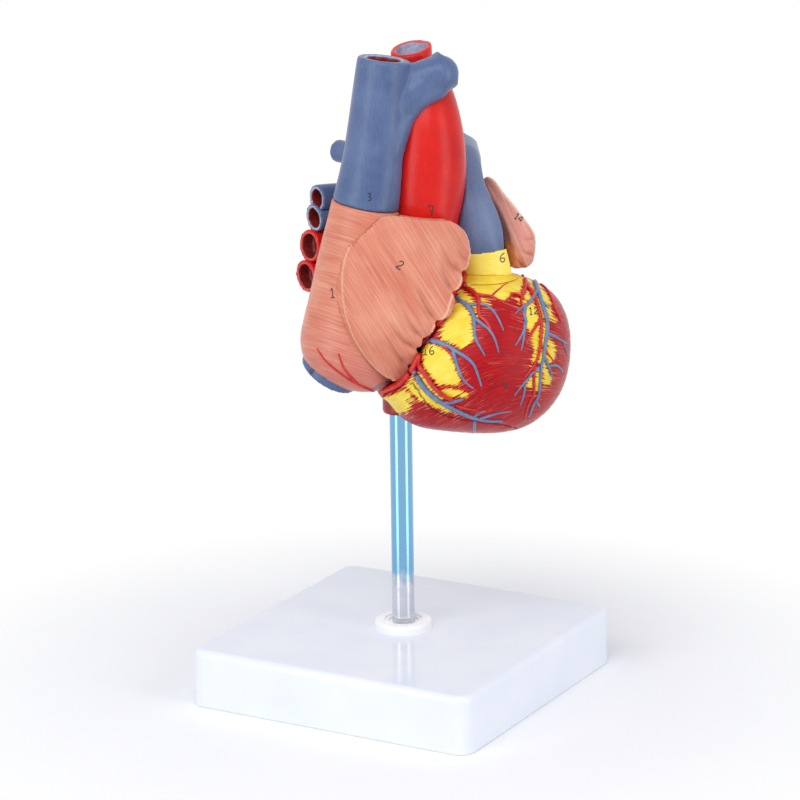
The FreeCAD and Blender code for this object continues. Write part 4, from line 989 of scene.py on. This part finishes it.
def make_coronaries():
    groups = [
        ("artery", ARTERIES, ARTERY_GIRTH, 0.0, ARTERY_LINE, "artery_red"),
        ("groove_artery", GROOVE_ARTERIES, 1.0, GROOVE_LIFT, ARTERY_LINE, "artery_red"),
        ("vein", VEINS, VEIN_GIRTH, 0.0, VEIN_LINE, "vein_blue"),
    ]
    for kind, paths, girth, lift, material, slot in groups:
        for number, (pixels, start, end, *names) in enumerate(paths):
            runs = traced(pixels, (start * girth, end), names or VENTRICLES, lift)
            for part, (body, line) in enumerate(runs):
                name = f"coronary_{kind}_{number:02d}_{part}"
                laid_tube(name, smoothed(line), body, material)


# ---- fat and muscle

# Outlines of the yellow fat between the vessels, as pixels.
FAT_OUTLINES = [
    [(464, 268), (511, 272), (515, 272), (523, 278), (523, 287), (519.5, 292.5), (513, 292.5), (508, 299),
     (501, 299.8), (494, 297.5), (488, 295.5), (476, 293), (463, 283.5), (466, 277.5)],
    [(457, 292), (460, 289.5), (466.5, 293.5), (475, 302.5), (469.5, 303.3), (463, 300.7), (457, 296.3)],
    [(453, 300), (461, 303), (469.5, 311), (472, 319), (473, 330), (473, 337), (469, 343), (463, 349),
     (454, 345.5), (440, 337), (441.5, 330.5), (446.5, 319), (450, 311.5)],
    [(472, 306), (478, 306), (478, 317)],
    [(479, 297.5), (486, 300), (491, 304), (484, 303), (480, 302.5)],
    [(427, 342), (433, 344), (444, 349), (451.5, 356.5), (454.5, 365), (457.5, 374), (461, 380), (458, 386),
     (447, 385.5), (438.5, 386.5), (429.5, 374), (422, 363.5), (423, 351)],
    [(438.5, 389), (449, 388), (459, 390), (468, 393.5), (467, 397), (460, 397), (451.5, 397.5), (444, 394)],
    [(413, 375), (417, 382), (424, 391), (438.5, 402.5), (449.5, 409), (456, 414), (446, 411.5), (431, 406),
     (419, 400.5), (409, 390.5), (403, 386)],
    [(379, 398), (394, 394.5), (404, 388.5), (409, 393), (415.5, 400), (408, 402), (411, 408), (406, 412),
     (397, 413.5), (389, 410.5), (383, 405.5), (375, 400)],
    [(417, 372), (421, 374), (432, 388), (443, 399.5), (440, 400.5), (428, 388)],
    [(532, 267), (537.5, 260), (544, 269.5), (549, 277), (545, 280), (538.5, 275.5)],
    [(535, 281), (539, 285), (546.5, 293), (550, 301), (550.5, 305.5), (544, 302.5), (540, 296),
     (536.5, 288.5)],
    [(527.5, 289), (531.5, 298), (530, 300.5), (523, 303.5), (524.5, 297)],
    [(533, 301), (536, 309), (538.5, 319), (535, 325.5), (530, 333), (527, 327.5), (524.7, 316),
     (525.2, 309), (528, 305)],
    [(536.5, 294), (538.5, 294.5), (541, 303), (544, 317), (541.5, 314), (538.5, 303)],
    [(545, 307), (551, 307), (551, 311), (556.5, 322), (549, 318.5)],
    [(527, 278.5), (530.5, 280), (535, 290), (532, 288)],
    [(517, 298), (520.5, 298), (519, 305)],
    [(534.5, 325), (541, 322), (539, 335), (538.5, 347), (536, 359), (532, 364.5), (533.5, 355), (533, 343),
     (531, 336)],
    [(543, 322), (547, 322), (546.5, 335), (543.5, 353), (542, 361), (538.5, 363.5), (541, 353), (542, 335)],
    [(548, 338), (552, 341), (556.5, 350), (554, 359), (549.5, 362.5), (547, 356), (546, 349)],
    [(543.5, 361), (548, 371.5), (552, 378.5), (550.5, 385), (543.5, 386), (542.5, 369)],
    [(535, 372), (540.5, 368), (539.5, 381), (538, 391.5), (535.3, 389.5), (535.5, 378)],
    [(532.5, 373), (527, 383), (527.5, 387), (532, 389)],
]
FAT_REACH = 12.0  # pixels over which the mask falls from an outline to bare muscle


def pixel_of(points):
    """Where the camera sees points, as an array of pixels."""
    offset = points - np.array(eye)
    depth = offset @ np.array(ahead)
    across = offset @ np.array(right) / depth
    up = offset @ np.array(upward) / depth
    return np.stack([IMAGE / 2 + across * FOCAL_PIXELS, IMAGE / 2 - up * FOCAL_PIXELS], 1)


def depth_inside(places, outline):
    """How far inside an outline each place lies, and below 0 how far outside."""
    corners = np.array(outline, float)
    nearest = np.full(len(places), 1e9)
    inside = np.zeros(len(places), bool)
    for a, b in zip(corners, np.roll(corners, -1, 0)):
        side = b - a
        share = np.clip((places - a) @ side / (side @ side), 0, 1)
        nearest = np.minimum(nearest, np.linalg.norm(places - a - share[:, None] * side, axis=1))
        crosses = (a[1] > places[:, 1]) != (b[1] > places[:, 1])
        with np.errstate(divide="ignore", invalid="ignore"):
            edge = a[0] + (places[:, 1] - a[1]) * side[0] / side[1]
        inside ^= crosses & (places[:, 0] < edge)
    return np.where(inside, nearest, -nearest)


BACK_FAT = (2.4, 3.2)  # reach of the fat beside them: at least in mm, and in radii


def near_back_vessels(skin):
    """Fat beside the vessels on the sides that the camera doesn't see."""
    centres, reaches = [], []
    for *_, line in back_runs:
        for place, _, radius in line[::2]:
            centres.append(place)
            reaches.append(max(BACK_FAT[0] * MM, radius * BACK_FAT[1]))
    return nearness(skin.points, np.array(centres), reaches)


def fat_field(skin):
    """The fat mask: above 0 it is yellow."""
    seen = skin.normals @ np.array(ahead) < 0.12
    places = pixel_of(skin.points)
    field = np.full(len(places), -1.0)
    for outline in FAT_OUTLINES:
        field = np.maximum(field, depth_inside(places, outline) / FAT_REACH)
    field = np.where(seen, field, -1.0)
    return np.clip(np.maximum(field, near_back_vessels(skin) * 0.8), -1, 1)


SHELL = (1.2, 2.2)  # mm under the ventricles' hull, from wholly outside to wholly inside
SEAM_ROWS = (380, 386)  # pixel rows between which the dark seam fades in
SEAM_GAP = (0.5, 0.9)  # mm from the other casting, from full seam to none


def make_fat_and_muscle():
    """Masks and relief of the two ventricle castings."""
    hull = hull_tree([skins[name] for name in VENTRICLES])
    trees = {name: skins[name].surface() for name in VENTRICLES}
    for name, other in zip(VENTRICLES, VENTRICLES[::-1]):
        skin = skins[name]
        outside = np.array([hull.find_nearest(Vector(p))[3] for p in skin.points]) / MM
        outer = 1 - soft_step(outside, *SHELL)
        section, chamber = inner_faces(skin, outer)
        fat = fat_field(skin)
        gap = np.array([trees[other].find_nearest(Vector(p), 3 * MM)[3] or 1 for p in skin.points]) / MM
        skin.set_mask("fat", fat)
        skin.set_mask("section", section)
        skin.set_mask("chamber", chamber)
        low = soft_step(pixel_of(skin.points)[:, 1], *SEAM_ROWS)
        skin.set_mask("seam", low * outer * (1 - soft_step(gap, *SEAM_GAP)))
        fibre = fibre_axes(screen_way(0.87, 0.5), 0.022)(skin.points)
        skin.set_fibre(fibre)
        carve_muscle(skin, fibre, fat, outer)


def hull_tree(pieces):
    """The convex hull of some skins, for telling their outer faces from the inner ones."""
    mesh = bmesh.new()
    for piece in pieces:
        mesh.from_mesh(piece.mesh)
    result = bmesh.ops.convex_hull(mesh, input=mesh.verts)
    loose = {g for g in result["geom_unused"] + result["geom_interior"] if isinstance(g, bmesh.types.BMVert)}
    bmesh.ops.delete(mesh, geom=list(loose), context="VERTS")
    kept = {f for f in result["geom"] if isinstance(f, bmesh.types.BMFace)}
    bmesh.ops.delete(mesh, geom=[f for f in mesh.faces if f not in kept], context="FACES_ONLY")
    tree = BVHTree.FromBMesh(mesh)
    mesh.free()
    return tree

# Axes of the two chambers in the heart's frame: ends and radii, in millimetres.
CHAMBERS = [
    ((23.0, -22.7, 27.0), (38.1, -30.0, 17.0), 30.0, 17.0),
    ((21, -7, 35), (46, -33, 12), 16.0, 5.0),
]


def inner_faces(skin, outer):
    """Masks of the sawn faces and of the chamber walls."""
    reach = np.full(len(skin.points), -9.0)
    for start, end, first, second in CHAMBERS:
        for share in np.linspace(0, 1, 9):
            centre = heart_point(*[a + (b - a) * share for a, b in zip(start, end)])
            radius = (first + (second - first) * share) * MM
            distance = np.linalg.norm(skin.points - np.array(centre), axis=1)
            reach = np.maximum(reach, (radius - distance) / MM)
    chamber = soft_step(reach, -1.0, -0.2) * (1 - outer)
    return (1 - chamber) * (1 - outer), chamber


def carve_muscle(skin, fibre, fat, outer):
    """Fine ridges along the fibres, soft lumps under the fat, and ropes inside the chambers."""
    ridges = wander(fibre / np.array([8.0, 0.9, 9.0]), 1)
    lumps = wander(skin.points / (5 * MM), 2)
    muscle = 1 - soft_step(fat, -0.15, 0.15)
    height = outer * (muscle * (ridges * 0.1 - 0.05) + (1 - muscle) * (0.1 + 0.08 * lumps))
    ropes = 1 - np.abs(wander(fibre / np.array([16.0, 4.0, 9.0]), 3))
    height += (1 - outer) * inner_faces(skin, outer)[1] * (ropes - 0.6) * 0.7
    skin.raise_by(height * MM)


# ---- carving of the auricles

# Creases between the right auricle's lobes: pixels, and half width and depth in millimetres.
CREASES = [
    ([(464, 273), (457, 268), (450, 262), (444, 252), (441, 243)], 1.9, 1.5),
    ([(470, 262), (463, 256), (458, 249)], 1.2, 0.8),
    ([(455, 292), (449, 283), (444, 273), (441, 262)], 2.0, 1.7),
    ([(438, 322), (431, 315), (425, 306), (421, 296), (418, 286)], 2.0, 1.8),
    ([(425, 340), (416, 332), (409, 321), (404, 310)], 1.8, 1.5),
    ([(419, 351), (411, 347), (404, 342), (396, 332), (391, 322)], 1.8, 1.5),
    ([(410, 367), (402, 361), (394, 352), (388, 343)], 1.7, 1.3),
]

# The right auricle's border from its top, down its left side and along its lobes, as pixels.
RIGHT_AURICLE_EDGE = [
    (462, 224), (453, 220.5), (440, 219), (425, 218.5), (410, 217.5), (396, 216), (386, 216.5), (376.5, 219),
    (366, 225), (356, 235), (348.5, 247), (344, 260), (341.7, 275.8), (341.7, 291.5), (343.5, 307),
    (347.5, 323), (353.7, 338.6), (362.4, 353), (372.8, 366), (383.3, 375), (392.4, 380), (400, 381),
    (407, 375), (410, 367), (416, 360), (419, 352), (422, 345), (430, 336), (434, 327), (440, 321),
    (447, 313), (450, 303), (454, 293), (459, 287), (463, 276), (468, 266), (470.5, 252), (468, 238),
    (462, 226),
]
# The left auricle's in the same form.
LEFT_CREASES = [
    ([(538, 237), (531, 239), (522, 240)], 1.0, 0.8),
    ([(536, 257), (528, 254), (519, 250)], 1.0, 0.8),
    ([(524, 270), (519, 263), (513, 256)], 0.9, 0.7),
]


def carve_creases(skin, name, creases):
    """Depth of the creases between lobes, and a mask of the painted shade in them."""
    depth = np.zeros(len(skin.points))
    crease_shade = np.zeros(len(skin.points))
    for pixels, width, most in creases:
        places = [np.array(place) for place, _ in spots_on(name, pixels, 1.5)]
        shares = np.interp(np.linspace(0, 1, len(places)), (0, 0.2, 1), (0.5, 1, 0.1))
        for place, share in zip(places, shares):
            gap = np.linalg.norm(skin.points - place, axis=1) / (width * MM)
            strength = np.exp(-gap * gap) * share
            depth = np.maximum(depth, strength * most)
            # Painted shade: a narrow dark band along each crease.
            crease_shade = np.maximum(crease_shade, np.exp(-gap * gap * 5) * share)
    return depth, crease_shade


def beyond_edge(places, edge):
    """How many pixels each place lies to the left of a line of pixels, and below 0 to its right."""
    edge = np.array(even_steps(edge, 1.0))
    following = np.vstack([edge[1:], edge[-1:] * 2 - edge[-2:-1]])
    result = np.empty(len(places))
    for start in range(0, len(places), 4000):
        part = places[start : start + 4000]
        nearest = ((part[:, None] - edge[None]) ** 2).sum(2).argmin(1)
        along = following[nearest] - edge[nearest]
        offset = part - edge[nearest]
        side = along[:, 0] * offset[:, 1] - along[:, 1] * offset[:, 0]
        result[start : start + 4000] = side / np.linalg.norm(along, axis=1)
    return result


TUCK = 1.2  # mm behind the other casting's surface


def tuck_behind(skin, other, share):
    """Sinks a share of what lies in front of another casting to just behind that casting's surface."""
    tree = skins[other].surface()
    for i in np.nonzero(share > 0)[0]:
        way = Vector(skin.points[i]) - eye
        reach = way.length
        way.normalize()
        place = tree.ray_cast(eye, way)[0]
        if place is not None:
            behind = (place - eye).length + TUCK * MM - reach
            skin.points[i] += np.array(way) * max(0, behind) * share[i]
    skin.write()


def carve_auricles():
    """Fibres, creases between lobes with painted shade in them, and a raised edge with a painted highlight
    along it on both auricles.
    """
    plan = [
        ("right_auricle", CREASES, screen_way(0.5, -0.86), RIGHT_AURICLE_EDGE),
        ("left_auricle", LEFT_CREASES, screen_way(0.4, -0.91), LEFT_AURICLE_EDGE),
    ]
    for name, creases, line, border in plan:
        skin = skins[name]
        depth, crease_shade = carve_creases(skin, name, creases)
        lines = wander(fibre_axes(line)(skin.points) / np.array([30.0, 0.8, 20.0]), 5)
        outward = soft_step(-(skin.normals @ np.array(ahead)), 0.0, 0.35)
        past = beyond_edge(pixel_of(skin.points), border)
        lip = outward * soft_step(past, -7, -1.5)
        skin.set_mask("crease_shade", crease_shade)
        # Painted highlight: a pale band just inside the border, on faces turned towards the camera.
        skin.set_mask("edge", outward * soft_step(past, -2.0, -1.0) * (1 - soft_step(past, 0, 1.0)))
        height = lines * 0.08 * outward - depth + lip * 0.35
        skin.raise_by(height * MM)
        if name == "right_auricle":
            tuck_behind(skin, "right_atrium", soft_step(past, -1.2, 0.8) * (outward > 0))


def carve_atria():
    for name in ("right_atrium", "left_atrium"):
        skin = skins[name]
        lines = wander(fibre_axes(screen_way(0.93, -0.33))(skin.points) / np.array([24.0, 1.2, 24.0]), 7)
        skin.raise_by(lines * 0.07 * MM)
        height = (skin.points[:, 2] - SEAT_HEIGHT * MM) / MM
        skin.set_mask("low", 1 - soft_step(height, 25, 60))


# ---- numbers

# Strokes of each digit in a box one unit high.
GLYPHS = {
    "1": [[(0.05, 0.75), (0.25, 1.0), (0.25, 0.0)], [(0.02, 0.0), (0.5, 0.0)]],
    "2": [[(0.0, 0.72), (0.15, 0.95), (0.42, 0.95), (0.5, 0.7), (0.3, 0.4), (0.0, 0.08), (0.6, 0.05)]],
    "3": [[(0.05, 0.9), (0.35, 1.0), (0.5, 0.8), (0.25, 0.55), (0.52, 0.35), (0.4, 0.05), (0.05, 0.05)]],
    "4": [[(0.45, 0.0), (0.45, 1.0), (0.0, 0.35), (0.65, 0.35)]],
    "5": [[(0.5, 0.95), (0.1, 0.95), (0.08, 0.55), (0.4, 0.55), (0.5, 0.25), (0.3, 0.0), (0.0, 0.1)]],
    "6": [[(0.45, 1.0), (0.15, 0.75), (0.02, 0.35), (0.2, 0.02), (0.48, 0.15), (0.45, 0.45), (0.08, 0.4)]],
    "7": [[(0.0, 0.95), (0.5, 0.98), (0.25, 0.0)], [(0.08, 0.5), (0.48, 0.52)]],
    ".": [[(0.2, 0.0), (0.24, 0.05)]],
}

# Numbers: text, pixel of its middle, height in pixels, lean in degrees, skin.
NUMBERS = [
    ("1", (332.5, 293), 9, 4, "right_atrium"),
    ("2", (400, 265), 9, -32, "right_auricle"),
    ("3", (369, 197), 7.5, 4, "cava"),
    ("4", (311.5, 371), 6.5, -35, "inferior_cava"),
    ("5", (505, 384), 6.5, 6, "front_wall"),
    ("6", (502.5, 257.5), 9.5, -4, "ring"),
    (".", (505, 267), 6, 0, "ring"),
    ("7", (431, 211), 10, 8, "arch"),
    ("14", (518.8, 217.5), 6, -32, "left_auricle"),
    ("12", (533.5, 311), 7, 4, "front_wall"),
    ("16", (428.5, 350.5), 8.5, 2, "front_wall"),
    (".", (427.5, 358.5), 5, 0, "front_wall"),
]
# The thin dark line under the yellow band.
BAND_LINE = [(470, 272.5), (480, 273.3), (492, 273.8), (503, 274.2), (511, 274.6)]
ADVANCE = 0.72  # from one digit to the next, as a share of the height
PEN = 1.1  # width of the pen in pixels
BAND_PEN = 0.7  # and of the one that drew the band's line


def make_numbers():
    for number, (text, centre, height, lean, name) in enumerate(NUMBERS):
        turn = math.radians(lean)
        start = -(len(text) * ADVANCE - 0.2) / 2
        strokes = [(start + i * ADVANCE, line) for i, digit in enumerate(text) for line in GLYPHS[digit]]
        for part, (shift, line) in enumerate(strokes):
            pixels = []
            for x, y in line:
                across, up = (x + shift) * height, (y - 0.5) * height
                px = centre[0] + across * math.cos(turn) - up * math.sin(turn)
                py = centre[1] - across * math.sin(turn) - up * math.cos(turn)
                pixels.append((px, py))
            write_stroke(f"number_{number:02d}_{part}", pixels, name)
    write_stroke("band_line", BAND_LINE, "front_wall", BAND_PEN)


def write_stroke(label, pixels, name, width=PEN):
    line = [(*spot, width / 2 * PIXEL) for spot in spots_on(name, pixels, 0.7)]
    if len(line) > 1:
        laid_tube(label, line, skins[name].body, INK, proud=0.1, flat=0.35)


# ---- stand and trim


FINISHES = [
    (base_plastic, ["base_plate"]),
    (collar_plastic, ["rod_collar"]),
    (rod_steel, ["support_rod"]),
    (screw_steel, ["rod_screw", "rod_washer"]),
    (magnet_nickel, ["heart_magnets", "wall_magnets"]),
]
VALVES = ["tricuspid_valve", "mitral_valve", "aortic_valve", "pulmonary_valve"]
MUSCLES = ["right_papillary_muscles", "left_papillary_muscles"]


def dress_nodes():
    """CAD nodes kept as they are, with better finishes."""
    plan = [(finish(), names) for finish, names in FINISHES]
    for material, names in plan + [(VALVE, VALVES), (PAPILLARY, MUSCLES)]:
        for name in names:
            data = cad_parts[name].data
            data.materials.clear()
            data.materials.append(material)


# ---- studio


FLOOR_DROP = -0.0002  # just under the base's feet, in metres
PAPER_REACH = (0.11, 0.24)  # where the paper starts to clear and where it has cleared, in metres


def make_floor():
    """A white floor that keeps the object's shadow, and shows as white to the camera."""
    mesh = bmesh.new()
    bmesh.ops.create_grid(mesh, size=4)
    data = bpy.data.meshes.new("floor")
    mesh.to_mesh(data)
    mesh.free()
    floor = placed("floor", data)
    floor.location.z = FLOOR_DROP
    material, tree = new_material("floor_paper")
    shade = tones(tree, spots(tree, 60), 0.3, 0.7, "#fdfdfe", "#ffffff")
    paper = add(tree, "ShaderNodeBsdfDiffuse", Color=shade)
    clear = add(tree, "ShaderNodeBsdfTransparent")
    place = add(tree, "ShaderNodeTexCoord").outputs["Object"]
    reach = add(tree, "ShaderNodeVectorMath", {"operation": "LENGTH"}, in0=place).outputs["Value"]
    fade = ramp(tree, reach, *PAPER_REACH)
    both = add(tree, "ShaderNodeMixShader", in0=fade, in1=paper.outputs[0], in2=clear.outputs[0])
    add(tree, "ShaderNodeOutputMaterial", Surface=both.outputs[0])
    data.materials.append(material)


def make_world():
    """An even white room: pale light on the object, white where the camera or a gloss sees it."""
    world = bpy.data.worlds.new("studio")
    bpy.context.scene.world = world
    world.use_nodes = True
    tree = world.node_tree
    tree.nodes.clear()
    rays = add(tree, "ShaderNodeLightPath")
    seen = maths(tree, "MAXIMUM", rays.outputs["Is Camera Ray"], rays.outputs["Is Transmission Ray"])
    seen = maths(tree, "MAXIMUM", seen, rays.outputs["Is Glossy Ray"])
    light = add(tree, "ShaderNodeBackground", Color=colour("#f3f6ff"), Strength=0.62)
    white = add(tree, "ShaderNodeBackground", Color=colour("#ffffff"), Strength=1.0)
    both = add(tree, "ShaderNodeMixShader", in0=seen, in1=light.outputs[0], in2=white.outputs[0])
    add(tree, "ShaderNodeOutputWorld", Surface=both.outputs[0])


LAMP_AIM = 0.15  # height that all lamps point at, in metres

# Lamps: turn from the camera to its left in degrees, height and distance, width and height, watts.
LAMPS = [
    ("left_softbox", 50, 0.4, 1.35, (0.6, 1.9), 7.3),
    ("right_softbox", -55, 0.3, 1.4, (0.6, 1.9), 7.0),
    ("top_softbox", 15, 1.2, 0.8, (0.8, 0.8), 5.5),
]


def make_lamps():
    aim = Vector((0, 0, LAMP_AIM))
    front = Vector((-ahead.x, -ahead.y, 0)).normalized()
    for name, turn, height, reach, (width, tall), power in LAMPS:
        spin = Matrix.Rotation(math.radians(-turn), 3, "Z")
        place = spin @ front * reach + Vector((0, 0, height))
        data = bpy.data.lights.new(name, "AREA")
        data.shape = "RECTANGLE"
        data.size = width
        data.size_y = tall
        data.energy = power
        lamp = placed(name, data)
        lamp.location = place
        lamp.rotation_euler = (aim - place).to_track_quat("-Z", "Y").to_euler()


# ---- the whole scene

bpy.context.scene.view_settings.view_transform = "Standard"
make_camera()
make_world()
make_lamps()
make_floor()
dress_nodes()
make_vessel_skins()
make_atrium_skins()
trim("left_auricle", LEFT_AURICLE_EDGE, 3)
trim("pulmonary", TRUNK_EDGE[::-1])
trim("ring", RING_EDGE[::-1], 1)
make_ventricle_skins()
back_runs = trace_back_vessels()
make_fat_and_muscle()
carve_auricles()
carve_atria()
make_coronaries()
make_back_vessels()
make_numbers()
